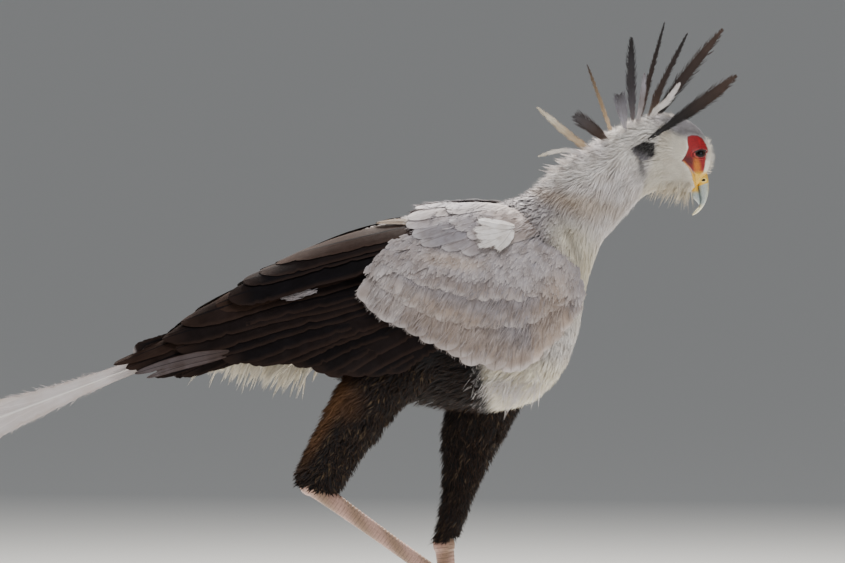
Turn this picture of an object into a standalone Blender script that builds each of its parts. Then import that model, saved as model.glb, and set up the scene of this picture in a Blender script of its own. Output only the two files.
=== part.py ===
# Secretary bird in mid stride, life size, on a plain oval base.
# Metres. +X is the way the bird faces, +Y is its left and +Z is up.
# The origin is the middle of the base's underside, below the standing foot.

import math
import random

import bmesh
import bpy
from mathutils import Matrix, Vector

RNG = random.Random(11)

# Gaps between neighbouring parts
GAP = 0.0003
CUT = 0.0006
GROWN_END = 0.001
SHORT_END = -GAP / 2

# Base
BASE_LENGTH = 0.36
BASE_WIDTH = 0.26
BASE_HEIGHT = 0.018
BASE_BEVEL = 0.003
FLOOR = BASE_HEIGHT + GAP

# Body slices from tail root to face: (upper x, upper z, lower x, lower z, half width)
BODY_RIBS = [
    (-0.345, 0.668, -0.345, 0.640, 0.010),
    (-0.315, 0.694, -0.318, 0.638, 0.020),
    (-0.285, 0.722, -0.288, 0.632, 0.031),
    (-0.250, 0.752, -0.255, 0.622, 0.044),
    (-0.203, 0.782, -0.213, 0.606, 0.060),
    (-0.144, 0.812, -0.163, 0.582, 0.075),
    (-0.084, 0.831, -0.107, 0.562, 0.084),
    (-0.025, 0.842, -0.044, 0.549, 0.088),
    (0.027, 0.846, 0.024, 0.543, 0.090),
    (0.064, 0.852, 0.098, 0.556, 0.088),
    (0.089, 0.862, 0.146, 0.600, 0.081),
    (0.110, 0.874, 0.169, 0.654, 0.072),
    (0.128, 0.887, 0.179, 0.708, 0.063),
    (0.145, 0.900, 0.189, 0.749, 0.055),
    (0.166, 0.915, 0.204, 0.789, 0.049),
    (0.189, 0.930, 0.223, 0.814, 0.045),
    (0.210, 0.944, 0.244, 0.838, 0.042),
    (0.229, 0.957, 0.263, 0.858, 0.039),
    (0.252, 0.969, 0.278, 0.868, 0.036),
    (0.279, 0.978, 0.291, 0.871, 0.034),
    (0.305, 0.980, 0.305, 0.873, 0.0325),
    (0.329, 0.975, 0.318, 0.871, 0.031),
    (0.348, 0.963, 0.327, 0.869, 0.028),
    (0.361, 0.946, 0.332, 0.867, 0.0245),
    (0.368, 0.926, 0.335, 0.866, 0.0205),
    (0.366, 0.907, 0.337, 0.867, 0.0155),
    (0.3618, 0.8933, 0.339, 0.869, 0.0115),
]
BODY_SQUARENESS = 2.25
BODY_AROUND = 20
TAIL_END = 2.6
TORSO_END = 12.3
NECK_END = 14.7
NAPE_END = 19.35
FACE_END = len(BODY_RIBS) - 1

# Eyes, lids and brows
EYE = Vector((0.3490, 0.0135, 0.9250))
EYE_RADIUS = 0.0105
EYE_AXIS = Vector((0.30, 0.95, 0.03)).normalized()
LID_REACH = 0.0112
LID_HALF_LENGTH = 0.0078
LID_HALF_HEIGHT = 0.0058
LID_RADIUS = 0.0014
LID_SIDES = 4
LID_STEPS = 12
BROW_START = (0.3400, 0.9375)
BROW_END = (0.3625, 0.9270)
BROW_RADIUS = 0.0024

# Bill, from the face's end slice on
CERE_END = (0.3646, 0.8822, 0.3488, 0.8763, 0.0101)
CERE_SHARE = 0.57
CERE_WIDTH = 0.0112
UPPER_BILL_RIBS = [
    CERE_END,
    (0.3648, 0.8690, 0.3508, 0.8665, 0.0083),
    (0.3618, 0.8560, 0.3527, 0.8555, 0.0065),
    (0.3560, 0.8450, 0.3508, 0.8470, 0.0046),
    (0.3485, 0.8370, 0.3452, 0.8403, 0.0029),
    (0.3412, 0.8328, 0.3403, 0.8341, 0.0010),
]
BILL_SQUARENESS = 2.05
LOWER_BILL_SHARES = (0.61, 0.97)
LOWER_BILL_WIDTH = 0.0100
LOWER_BILL_RIBS = [
    (0.3500, 0.8665, 0.3430, 0.8600, 0.0076),
    (0.3520, 0.8570, 0.3476, 0.8530, 0.0052),
    (0.3520, 0.8505, 0.3506, 0.8488, 0.0022),
]
NOSTRIL = Vector((0.3560, 0.0, 0.8864))
NOSTRIL_SIZE = (0.0042, 0.0035, 0.0016)
GAPE_LINE = [(0.3290, 0.9130), (0.3350, 0.9050), (0.3400, 0.8960), (0.3440, 0.8870), (0.3462, 0.8815)]
GAPE_DEPTH = 0.0007

# Cream locks below cheek and chin
BEARD_COUNT = 11
BEARD_START = (0.289, 0.880)
BEARD_END = (0.328, 0.877)
BEARD_LENGTH = (0.019, 0.029)
BEARD_WIDTH = 0.0055
BEARD_Y = 0.020

# Crest plumes: (points from root to tip as x and z, root y, tip y, width, kind)
PLUMES = [
    ([(0.262, 0.937), (0.290, 0.957), (0.345, 0.997), (0.404, 1.041)], -0.029, -0.050, 0.015, "paddle"),
    ([(0.264, 0.932), (0.288, 0.950), (0.339, 0.984), (0.394, 1.021)], 0.029, 0.046, 0.012, "paddle"),
    ([(0.270, 0.950), (0.285, 0.975), (0.322, 1.028), (0.386, 1.109)], 0.004, 0.010, 0.016, "paddle"),
    ([(0.272, 0.955), (0.284, 0.985), (0.303, 1.003), (0.322, 1.030)], -0.008, -0.016, 0.010, "strap"),
    ([(0.266, 0.952), (0.280, 0.984), (0.294, 1.024), (0.333, 1.103)], -0.003, -0.008, 0.011, "strap"),
    ([(0.257, 0.952), (0.264, 0.984), (0.274, 1.022), (0.300, 1.119)], 0.009, 0.020, 0.010, "strap"),
    ([(0.254, 0.948), (0.262, 0.985), (0.267, 1.015), (0.269, 1.044)], -0.012, -0.020, 0.008, "strap"),
    ([(0.250, 0.945), (0.252, 0.980), (0.250, 1.026), (0.250, 1.097)], -0.002, -0.004, 0.012, "paddle"),
    ([(0.243, 0.940), (0.240, 0.966), (0.236, 0.990), (0.232, 1.012)], -0.014, -0.028, 0.017, "paddle"),
    ([(0.230, 0.930), (0.221, 0.955), (0.204, 1.004), (0.185, 1.056)], 0.006, 0.012, 0.006, "strap"),
    ([(0.226, 0.925), (0.214, 0.943), (0.192, 0.963), (0.166, 0.982)], -0.012, -0.030, 0.016, "paddle"),
    ([(0.212, 0.914), (0.194, 0.925), (0.155, 0.955), (0.111, 0.993)], 0.000, 0.004, 0.012, "paddle"),
    ([(0.208, 0.905), (0.190, 0.918), (0.152, 0.930), (0.112, 0.921)], -0.010, -0.022, 0.008, "strap"),
]
PLUME_THICKNESS = 0.0013
PLUME_ROWS = 6

# Wing surface from tail end to bend: (x, middle z, height above, depth below, half breadth)
WING_STATIONS = [
    (-0.565, 0.585, 0.025, 0.025, 0.022),
    (-0.506, 0.596, 0.036, 0.036, 0.027),
    (-0.447, 0.604, 0.058, 0.055, 0.034),
    (-0.388, 0.615, 0.090, 0.078, 0.042),
    (-0.329, 0.628, 0.111, 0.095, 0.050),
    (-0.269, 0.640, 0.124, 0.110, 0.064),
    (-0.210, 0.655, 0.137, 0.130, 0.081),
    (-0.151, 0.672, 0.148, 0.145, 0.100),
    (-0.092, 0.682, 0.156, 0.155, 0.115),
    (-0.033, 0.690, 0.158, 0.160, 0.122),
    (0.027, 0.695, 0.156, 0.150, 0.121),
    (0.086, 0.700, 0.148, 0.130, 0.111),
    (0.145, 0.705, 0.100, 0.095, 0.088),
    (0.180, 0.712, 0.060, 0.060, 0.062),
]
WING_SQUARENESS = 2.3
SURFACE_STEP = 0.002
TOP_SHARE = 0.985

# Fleshy part of the wing: (x, top z, bottom z)
WING_CORE = [
    (-0.235, 0.742, 0.664),
    (-0.190, 0.775, 0.655),
    (-0.130, 0.806, 0.645),
    (-0.060, 0.826, 0.652),
    (0.010, 0.837, 0.640),
    (0.070, 0.841, 0.638),
    (0.120, 0.824, 0.652),
    (0.158, 0.786, 0.678),
    (0.178, 0.750, 0.700),
]
CORE_RINGS = 13
CORE_ACROSS = 8
CORE_DEPTH = 0.006
CORE_INNER_Y = 0.030

# Feather tiers, deepest first. Lines run from the upper feather to the lower or front one.
PRIMARIES = {
    "roots": [(-0.205, 0.722), (-0.195, 0.700), (-0.190, 0.680)],
    "tips": [(-0.523, 0.615), (-0.494, 0.606), (-0.470, 0.597), (-0.432, 0.593), (-0.385, 0.606)],
    "count": 4, "width": 0.038, "lift": -0.0095, "slope": 0.10, "bow": -0.006,
}
SECONDARIES = {
    "roots": [(-0.115, 0.792), (-0.100, 0.760), (-0.080, 0.722), (-0.040, 0.690), (0.010, 0.668)],
    "tips": [(-0.350, 0.722), (-0.425, 0.682), (-0.440, 0.655), (-0.345, 0.632), (-0.245, 0.616),
             (-0.175, 0.598), (-0.105, 0.603)],
    "count": 9, "width": 0.046, "lift": -0.0035, "slope": 0.11, "bow": -0.007,
}
GREATER_COVERTS = {
    "roots": [(-0.092, 0.764), (-0.033, 0.730), (0.027, 0.712), (0.086, 0.712), (0.138, 0.726),
              (0.164, 0.736)],
    "tips": [(-0.145, 0.705), (-0.114, 0.678), (-0.062, 0.657), (-0.018, 0.631), (0.019, 0.617),
             (0.064, 0.607), (0.104, 0.626), (0.140, 0.656), (0.162, 0.688)],
    "count": 11, "width": 0.038, "lift": 0.0020, "slope": 0.07, "bow": -0.004,
}
MEDIAN_COVERTS = {
    "roots": [(-0.075, 0.790), (-0.010, 0.775), (0.056, 0.770), (0.115, 0.768), (0.150, 0.757)],
    "tips": [(-0.110, 0.735), (-0.045, 0.705), (0.020, 0.688), (0.080, 0.688), (0.135, 0.707)],
    "count": 7, "width": 0.042, "lift": 0.0048, "slope": 0.06, "bow": -0.003,
}
SCAPULARS = {
    "roots": [(0.020, 0.842), (0.050, 0.838), (0.078, 0.826), (0.092, 0.806)],
    "tips": [(-0.180, 0.795), (-0.125, 0.800), (-0.070, 0.792), (-0.020, 0.782), (0.035, 0.778)],
    "count": 5, "width": 0.050, "lift": 0.0065, "slope": 0.07, "bow": -0.006,
}
VANE_ROWS = [(0.0, 0.45, 1.0), (0.35, 0.95, 1.0), (0.82, 0.90, 0.9), (1.0, 0.30, 0.6)]
VANE_THICKNESS = 0.0011
VANE_SINK = 0.010
VANE_VARIATION = 0.06

# Tail: the long middle pair hangs over five shorter pairs
MIDDLE_ROOT = Vector((-0.280, 0.0030, 0.690))
MIDDLE_TIP = Vector((-0.847, 0.0040, 0.488))
MIDDLE_WIDTH = 0.046
MIDDLE_ROLL = (5.0, 24.0)
SHORT_PAIRS = 4
SHORT_ROOT = Vector((-0.283, 0.0064, 0.686))
SHORT_ROOT_STEP = Vector((0.002, 0.0026, -0.007))
SHORT_TIP = Vector((-0.486, 0.0070, 0.622))
SHORT_TIP_STEP = Vector((0.016, 0.0026, -0.0045))
SHORT_WIDTH = 0.040
SHORT_ROLL = 7.0
TAIL_THICKNESS = 0.0012

# Soft feathers below the tail root: rows of (root x, root z, length), set at three places across
UNDERTAIL = [(-0.320, 0.650, 0.070), (-0.294, 0.645, 0.074), (-0.266, 0.638, 0.070)]
UNDERTAIL_ACROSS = (-0.014, 0.014)
UNDERTAIL_WIDTH = 0.026

# Leg slices from hip to hock: (rear x, rear z, front x, front z, half width)
RIGHT_THIGH_RIBS = [
    (-0.120, 0.660, 0.020, 0.650, 0.040),
    (-0.172, 0.598, -0.058, 0.578, 0.040),
    (-0.195, 0.560, -0.098, 0.541, 0.034),
    (-0.213, 0.523, -0.124, 0.505, 0.028),
    (-0.231, 0.487, -0.150, 0.475, 0.024),
    (-0.243, 0.460, -0.167, 0.447, 0.0205),
    (-0.247, 0.442, -0.183, 0.424, 0.0175),
]
LEFT_THIGH_RIBS = [
    (-0.060, 0.650, 0.115, 0.640, 0.040),
    (-0.026, 0.556, 0.094, 0.566, 0.038),
    (-0.030, 0.505, 0.068, 0.510, 0.032),
    (-0.028, 0.460, 0.043, 0.466, 0.026),
    (-0.029, 0.413, 0.022, 0.422, 0.021),
    (-0.037, 0.370, 0.006, 0.380, 0.018),
    (-0.043, 0.348, -0.007, 0.350, 0.0155),
]
THIGH_SQUARENESS = 2.2
RIGHT_LEG_Y = -0.050
LEFT_LEG_Y = 0.046
RIGHT_HOCK = Vector((-0.224, RIGHT_LEG_Y, 0.4375))
RIGHT_ANKLE = Vector((0.016, -0.042, 0.264))
LEFT_HOCK = Vector((-0.0265, LEFT_LEG_Y, 0.3400))
LEFT_ANKLE = Vector((0.004, 0.020, 0.044))
HOCK_SIZE = (0.0165, 0.0140, 0.0165)
TARSUS_DEPTH = 0.0106
TARSUS_WIDTH = 0.0078
HOCK_SWELL = 0.35
ANKLE_SWELL = 1.12

# Toes: (name, heading in degrees, length, root radius, tip radius)
TOES = [
    ("inner", 32.0, 0.044, 0.0088, 0.0056),
    ("middle", 0.0, 0.064, 0.0092, 0.0056),
    ("outer", -32.0, 0.048, 0.0084, 0.0054),
    ("hind", 176.0, 0.026, 0.0076, 0.0056),
]
MIDDLE_TOE_RADIUS = TOES[1][3]
TOE_PADS = 0.08
HUB_RADIUS = 0.0125
HUB_END_RADIUS = 0.0085
HUB_FORWARD = 0.004
SWING_HUB_LENGTH = 0.012
CLAW_LENGTH = 0.017
CLAW_RADIUS = 0.0044
CLAW_BEND = 0.006
FLAT_DEPTH = 0.0006
SWING_PITCH = 76.0
SWING_CURL = 0.20
SWING_HIND_FOLD = 125.0


def smooth_value(rows, t):
    """Value of a smooth curve through the rows, at row position t."""
    t = min(max(t, 0.0), len(rows) - 1.0)
    i = min(int(t), len(rows) - 2)
    f = t - i
    before = rows[max(i - 1, 0)]
    after = rows[min(i + 2, len(rows) - 1)]
    out = []
    for p, q, r, s in zip(before, rows[i], rows[i + 1], after):
        cubic = (s - p) + 3.0 * (q - r)
        square = 2.0 * p - 5.0 * q + 4.0 * r - s
        out.append(q + 0.5 * f * ((r - p) + f * (square + f * cubic)))
    return out


def along_line(rows, share):
    """Point at a share of the way along a smooth line of points."""
    return Vector(smooth_value(rows, share * (len(rows) - 1)))


def link(name, mesh):
    obj = bpy.data.objects.new(name, mesh)
    bpy.context.scene.collection.objects.link(obj)
    return obj


def new_object(name, vertices, faces):
    mesh = bpy.data.meshes.new(name)
    mesh.from_pydata([tuple(v) for v in vertices], [], faces)
    body = bmesh.new()
    body.from_mesh(mesh)
    bmesh.ops.recalc_face_normals(body, faces=body.faces)
    body.to_mesh(mesh)
    body.free()
    return link(name, mesh)


def ring_faces(rings, count, closed):
    """Triangles between neighbouring rings, all split the same way."""
    faces = []
    for i in range(rings if closed else rings - 1):
        for j in range(count):
            a = i * count + j
            b = i * count + (j + 1) % count
            c = (i + 1) % rings * count + (j + 1) % count
            d = (i + 1) % rings * count + j
            faces += [(a, b, c), (a, c, d)]
    return faces


def loft(name, rings):
    """Closed mesh through rings with the same number of points, capped flat."""
    count = len(rings[0])
    faces = ring_faces(len(rings), count, False)
    last = (len(rings) - 1) * count
    faces.append(tuple(range(count)))
    faces.append(tuple(range(last, last + count)))
    return new_object(name, [p for ring in rings for p in ring], faces)


def rib_ring(rib, around, squareness, y_middle, grow):
    """Points round one slice, as a superellipse in the slice's own plane."""
    ux, uz, lx, lz, half_width = rib
    upper = Vector((ux, y_middle, uz))
    lower = Vector((lx, y_middle, lz))
    middle = (upper + lower) / 2
    half = (upper - lower) / 2
    half *= 1 + grow / half.length
    power = 2.0 / squareness
    ring = []
    for j in range(around):
        angle = 2 * math.pi * (j + 0.5) / around
        c = math.cos(angle)
        s = math.sin(angle)
        along = math.copysign(abs(c) ** power, c)
        across = math.copysign(abs(s) ** power, s) * (half_width + grow)
        ring.append(middle + half * along + Vector((0.0, across, 0.0)))
    return ring


def inward(rib, neighbour):
    """Unit vector square to a slice, on the side of its neighbour."""
    ux, uz, lx, lz, _ = rib
    normal = Vector((uz - lz, 0.0, lx - ux)).normalized()
    way = (neighbour[0] + neighbour[2] - ux - lx) * normal.x
    way += (neighbour[1] + neighbour[3] - uz - lz) * normal.z
    return normal if way > 0 else -normal


def rib_loft(name, ribs, start, end, count, around, squareness, y_middle, grow, past):
    """Part between two slices, grown sideways, and grown past both slices or short of them."""
    slices = [smooth_value(ribs, start + (end - start) * i / (count - 1)) for i in range(count)]
    rings = [rib_ring(rib, around, squareness, y_middle, grow) for rib in slices]
    first = inward(slices[0], slices[1]) * past
    last = inward(slices[-1], slices[-2]) * past
    rings[0] = [p - first for p in rings[0]]
    rings[-1] = [p - last for p in rings[-1]]
    return loft(name, rings)


def tube(name, points, radii, around):
    """Closed tube through points, each ring an ellipse with two radii."""
    rings = []
    for i, p in enumerate(points):
        ahead = points[min(i + 1, len(points) - 1)] - points[max(i - 1, 0)]
        side = ahead.cross(Vector((0.0, 1.0, 0.0)))
        if side.length < 0.2 * ahead.length:
            side = ahead.cross(Vector((0.0, 0.0, 1.0)))
        side.normalize()
        other = ahead.cross(side).normalized()
        first, second = radii[i]
        ring = []
        for j in range(around):
            angle = 2 * math.pi * j / around
            ring.append(p + side * first * math.cos(angle) + other * second * math.sin(angle))
        rings.append(ring)
    return loft(name, rings)


def primitive(name, make, scale, centre, **options):
    """A unit primitive from bmesh, scaled and moved."""
    mesh = bpy.data.meshes.new(name)
    body = bmesh.new()
    make(body, **options)
    bmesh.ops.scale(body, vec=scale, verts=body.verts)
    bmesh.ops.translate(body, vec=centre, verts=body.verts)
    body.to_mesh(mesh)
    body.free()
    return link(name, mesh)


def ball(name, centre, size, segments, rings):
    make = bmesh.ops.create_uvsphere
    return primitive(name, make, size, centre, u_segments=segments, v_segments=rings, radius=1.0)


def floor_cutter():
    scale = Vector((0.4, 0.4, 0.2))
    return primitive("cut", bmesh.ops.create_cube, scale, (0.0, 0.0, FLOOR - scale.z / 2), size=1.0)


def mesh_islands(body):
    """Groups of faces that share edges."""
    todo = set(body.faces)
    groups = []
    while todo:
        group = [todo.pop()]
        for face in group:
            for edge in face.edges:
                found = [other for other in edge.link_faces if other in todo]
                todo.difference_update(found)
                group += found
        groups.append(group)
    return groups


def keep_largest(obj):
    """Keeps only the largest closed surface of a part."""
    body = bmesh.new()
    body.from_mesh(obj.data)
    groups = mesh_islands(body)
    groups.sort(key=lambda group: sum(face.calc_area() for face in group))
    scraps = [face for group in groups[:-1] for face in group]
    if scraps:
        bmesh.ops.delete(body, geom=scraps, context="FACES")
    body.to_mesh(obj.data)
    body.free()


def boolean(obj, others, operation):
    """Joins or cuts obj with a collection of closed meshes, which are then removed."""
    group = bpy.data.collections.new("operands")
    for other in others:
        bpy.context.scene.collection.objects.unlink(other)
        group.objects.link(other)
    bpy.context.scene.collection.children.link(group)
    step = obj.modifiers.new(operation, "BOOLEAN")
    step.operation = operation
    step.operand_type = "COLLECTION"
    step.collection = group
    step.solver = "MANIFOLD"
    graph = bpy.context.evaluated_depsgraph_get()
    made = bpy.data.meshes.new_from_object(obj.evaluated_get(graph))
    obj.modifiers.clear()
    obj.data = made
    for other in others:
        bpy.data.objects.remove(other)
    bpy.data.collections.remove(group)


def mirrored(obj):
    """Turns a piece made for the left side into its right-hand twin."""
    for v in obj.data.vertices:
        v.co.y = -v.co.y
    obj.data.flip_normals()
    return obj


def grown_copy(obj):
    """Copy of a convex part pushed out along its normals, to cut its neighbour."""
    mesh = obj.data.copy()
    body = bmesh.new()
    body.from_mesh(mesh)
    body.normal_update()
    for v in body.verts:
        v.co += v.normal * CUT
    body.to_mesh(mesh)
    body.free()
    return link("cut", mesh)


def finish_material(name, colour, roughness):
    material = bpy.data.materials.new(name)
    material.use_nodes = True
    shader = material.node_tree.nodes["Principled BSDF"]
    shader.inputs["Base Color"].default_value = (*colour, 1.0)
    shader.inputs["Roughness"].default_value = roughness
    return material


def paint(obj, material):
    obj.data.materials.clear()
    obj.data.materials.append(material)


# Body


def body_form(name, start, end, count, grow, past):
    return rib_loft(name, BODY_RIBS, start, end, count, BODY_AROUND, BODY_SQUARENESS, 0.0, grow, past)


def torso_form(name, grow=0.0, past=SHORT_END):
    return body_form(name, TAIL_END, TORSO_END, 18, grow, past)


def neck_form(name, grow=0.0, past=SHORT_END):
    return body_form(name, TORSO_END, NECK_END, 5, grow, past)


def nape_form(name, grow=0.0, past=SHORT_END):
    return body_form(name, NECK_END, NAPE_END, 7, grow, past)


def head_form(name, grow=0.0, past=SHORT_END):
    return body_form(name, NAPE_END, FACE_END, 12, grow, past)


def tail_form(name, grow=0.0, past=SHORT_END):
    return body_form(name, 0, TAIL_END, 5, grow, past)


def body_cutters():
    return [form("cut", CUT, GROWN_END) for form in (torso_form, neck_form, tail_form)]


def body_side(x, z):
    """Half breadth of the body where it is seen at (x, z) from the side."""
    best = 1.0
    half_breadth = 0.0
    for i in range(10 * FACE_END + 1):
        ux, uz, lx, lz, half_width = smooth_value(BODY_RIBS, i / 10)
        middle = Vector(((ux + lx) / 2, (uz + lz) / 2))
        half = Vector(((ux - lx) / 2, (uz - lz) / 2))
        off = Vector((x, z)) - middle
        share = off.dot(half) / half.length_squared
        miss = (off - half * share).length
        if miss < best and abs(share) < 1:
            best = miss
            half_breadth = half_width * (1 - abs(share) ** BODY_SQUARENESS) ** (1 / BODY_SQUARENESS)
    return half_breadth


# Feathers


def strip(name, rows):
    """Closed thin piece from rows of (top points, bottom points), both faces split alike."""
    across = len(rows[0][0])
    stride = 2 * across
    vertices = []
    faces = []
    for top, bottom in rows:
        vertices += top + bottom
    for i in range(len(rows) - 1):
        for j in range(across - 1):
            for side in (0, across):
                a = i * stride + j + side
                faces += [(a, a + 1, a + 1 + stride), (a, a + 1 + stride, a + stride)]
        for j in (0, across - 1):
            a = i * stride + j
            faces += [(a, a + across, a + across + stride), (a, a + across + stride, a + stride)]
    for i in (0, len(rows) - 1):
        for j in range(across - 1):
            a = i * stride + j
            faces += [(a, a + 1, a + 1 + across), (a, a + 1 + across, a + across)]
    return new_object(name, vertices, faces)


def feather(name, path, faces_way, width, thickness, shape):
    """Thin feather along a path. faces_way and shape are functions of the share of its length."""
    rows = []
    last = len(path) - 1
    for i, p in enumerate(path):
        ahead = (path[min(i + 1, last)] - path[max(i - 1, 0)]).normalized()
        lateral = faces_way(i / last).cross(ahead).normalized()
        normal = ahead.cross(lateral).normalized()
        low, high, thick = shape(i / last)
        top = []
        bottom = []
        for share in (-low, 0.0, high):
            at = p + lateral * (share * width)
            top.append(at + normal * thickness * thick / 2)
            bottom.append(at - normal * thickness * thick / 2)
        rows.append((top, bottom))
    return strip(name, rows)


def paddle_shape(f):
    """Bare quill at first, widest near the end, which is round."""
    if f < 0.45:
        return (0.12, 0.12, 1.0)
    swell = math.sin(math.pi * (0.08 + 0.87 * (f - 0.45) / 0.55)) ** 0.7
    return (0.12 + 0.38 * swell, 0.12 + 0.38 * swell, 0.8)


def strap_shape(f):
    """Narrow all along, blunt at the tip."""
    wide = 0.25 + 0.25 * math.sin(math.pi * min(0.15 + 0.75 * f, 1.0))
    return (wide, wide, 0.9)


def lock_shape(f):
    """Wide root, pointed tip."""
    wide = 0.5 * (1 - f) ** 0.7 + 0.08
    return (wide, wide, 1.0 - 0.4 * f)


def tail_shape(f):
    """Quill on the upper edge, vane below it, round end."""
    end = 1.0 if f < 0.85 else 1.0 - 0.75 * ((f - 0.85) / 0.15) ** 1.6
    full = min(0.45 + 2.2 * f, 1.0)
    return (0.85 * full * end, 0.15 * end, 1.0 if f < 0.95 else 0.7)


# Wings


def wing_station(x):
    """Wing surface at x: middle z, height above, depth below, half breadth."""
    rows = WING_STATIONS
    x = min(max(x, rows[0][0]), rows[-1][0])
    i = 0
    while i < len(rows) - 2 and rows[i + 1][0] < x:
        i += 1
    f = (x - rows[i][0]) / (rows[i + 1][0] - rows[i][0])
    return smooth_value(rows, i + f)[1:]


def wing_field(x, y, z):
    """Below 1 inside the wing surface, 1 on it, more outside."""
    middle, above, below, breadth = wing_station(x)
    height = above if z >= middle else below
    return abs(y / breadth) ** WING_SQUARENESS + abs((z - middle) / height) ** WING_SQUARENESS


def wing_point(x, y, z, lift):
    """Point and normal of the left wing's surface on the way to (x, y, z), raised by lift."""
    middle, above, below, breadth = wing_station(x)
    height = above if z >= middle else below
    up = abs((z - middle) / height) ** (WING_SQUARENESS / 2)
    out = (max(y, 0.02 * breadth) / breadth) ** (WING_SQUARENESS / 2)
    angle = math.atan2(up, out)
    y = breadth * math.cos(angle) ** (2 / WING_SQUARENESS)
    z = middle + math.copysign(height * math.sin(angle) ** (2 / WING_SQUARENESS), z - middle)
    h = SURFACE_STEP
    normal = Vector((
        wing_field(x + h, y, z) - wing_field(x - h, y, z),
        wing_field(x, y + h, z) - wing_field(x, y - h, z),
        wing_field(x, y, z + h) - wing_field(x, y, z - h),
    )).normalized()
    return Vector((x, y, z)) + normal * lift, normal


def on_wing(x, z, lift):
    """Point and normal of the left wing's surface where it is seen at (x, z) from the side."""
    middle, above, below, breadth = wing_station(x)
    height = above if z >= middle else below
    share = min(abs(z - middle) / height, TOP_SHARE)
    y = breadth * (1 - share**WING_SQUARENESS) ** (1 / WING_SQUARENESS)
    return wing_point(x, y, middle + math.copysign(share * height, z - middle), lift)


def wing_vane(root, tip, width, lift, slope, bow):
    """One feather laid on the wing surface, its root sunk in the core, its lower edge raised."""
    along = tip - root
    below = Vector((-along.y, along.x)).normalized()
    middles = []
    for f, _, _ in VANE_ROWS:
        at = root + along * f + below * (bow * math.sin(math.pi * f))
        middles.append(on_wing(at.x, at.y, 0.0))
    rows = []
    last = len(VANE_ROWS) - 1
    for i, (f, share, thick) in enumerate(VANE_ROWS):
        point, normal = middles[i]
        ahead = middles[min(i + 1, last)][0] - middles[max(i - 1, 0)][0]
        down = ahead.cross(normal).normalized()
        top = []
        bottom = []
        for side in (-1, 0, 1):
            off = side * share * width / 2
            at = point + down * off
            raised = lift + slope * off - (VANE_SINK if i == 0 else 0.0)
            half = VANE_THICKNESS * thick / 2
            top.append(wing_point(at.x, at.y, at.z, raised + half)[0])
            bottom.append(wing_point(at.x, at.y, at.z, raised - half)[0])
        rows.append((top, bottom))
    return strip("vane", rows)


def tier(roots, tips, count, width, lift, slope, bow):
    """Row of overlapping feathers, each a little different from the next."""
    vanes = []
    for i in range(count):
        share = i / (count - 1)
        root = along_line(roots, share)
        tip = along_line(tips, share)
        tip = root.lerp(tip, 1 + VANE_VARIATION * RNG.uniform(-1, 0.5))
        wide = width * (1 + VANE_VARIATION * RNG.uniform(-1, 1))
        vanes.append(wing_vane(root, tip, wide, lift, slope, bow))
    return vanes


def wing_core():
    rings = []
    for i in range(CORE_RINGS):
        x, top, bottom = smooth_value(WING_CORE, i / (CORE_RINGS - 1) * (len(WING_CORE) - 1))
        ring = []
        for j in range(CORE_ACROSS):
            z = top + (bottom - top) * j / (CORE_ACROSS - 1)
            ring.append(on_wing(x, z, -CORE_DEPTH)[0])
        ring.append(Vector((x, CORE_INNER_Y, bottom + 0.25 * (top - bottom))))
        ring.append(Vector((x, CORE_INNER_Y, bottom + 0.75 * (top - bottom))))
        rings.append(ring)
    return loft("core", rings)


def wing(name, side):
    node = wing_core()
    node.name = name
    vanes = []
    for rules in (PRIMARIES, SECONDARIES, GREATER_COVERTS, MEDIAN_COVERTS, SCAPULARS):
        vanes += tier(**rules)
    boolean(node, vanes, "UNION")
    if side < 0:
        mirrored(node)
    boolean(node, body_cutters() + [thigh_form("cut", side, CUT, GROWN_END)], "DIFFERENCE")
    keep_largest(node)
    return node


# Tail


def roll_way(degrees):
    """The way a feather of the left side faces when it is rolled back by some degrees."""
    angle = math.radians(degrees)
    return Vector((0.0, math.cos(angle), math.sin(angle)))


def tail_pair(root, tip, width, rolls, rows):
    path = [root.lerp(tip, i / (rows - 1)) for i in range(rows)]

    def faces_way(f):
        return roll_way(rolls[0] + (rolls[1] - rolls[0]) * f * f)

    pair = [feather("vane", path, faces_way, width, TAIL_THICKNESS, tail_shape) for _ in range(2)]
    mirrored(pair[1])
    return pair


def tail():
    node = tail_form("tail")
    vanes = tail_pair(MIDDLE_ROOT, MIDDLE_TIP, MIDDLE_WIDTH, MIDDLE_ROLL, 8)
    for k in range(SHORT_PAIRS):
        root = SHORT_ROOT + SHORT_ROOT_STEP * k
        tip = SHORT_TIP + SHORT_TIP_STEP * k
        vanes += tail_pair(root, tip, SHORT_WIDTH, (SHORT_ROLL, SHORT_ROLL), 4)
    for x, z, length in UNDERTAIL:
        for y in UNDERTAIL_ACROSS:
            root = Vector((x, y * 0.6, z))
            tip = root + Vector((-0.50, 12.0 * y, -0.85)).normalized() * length
            path = [root.lerp(tip, i / 3) for i in range(4)]
            way = Vector((-0.4, math.copysign(1.0, y), 0.0))
            vanes.append(feather("vane", path, lambda f, way=way: way, UNDERTAIL_WIDTH,
                                 TAIL_THICKNESS, lock_shape))
    boolean(node, vanes, "UNION")
    boolean(node, [torso_form("cut", CUT, 0.0)], "DIFFERENCE")
    keep_largest(node)
    return node


# Head


def crest():
    node = nape_form("crest")
    plumes = []
    for points, root_y, tip_y, width, kind in PLUMES:
        path = []
        for i in range(PLUME_ROWS):
            f = i / (PLUME_ROWS - 1)
            x, z = along_line(points, f)
            path.append(Vector((x, root_y + (tip_y - root_y) * f, z)))
        shape = paddle_shape if kind == "paddle" else strap_shape
        way = Vector((RNG.uniform(-0.2, 0.2), 1.0, 0.0))
        plumes.append(feather("plume", path, lambda f, way=way: way, width, PLUME_THICKNESS, shape))
    boolean(node, plumes, "UNION")
    boolean(node, [neck_form("cut", CUT, 0.0), head_form("cut", CUT, 0.0)], "DIFFERENCE")
    keep_largest(node)
    return node


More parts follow.
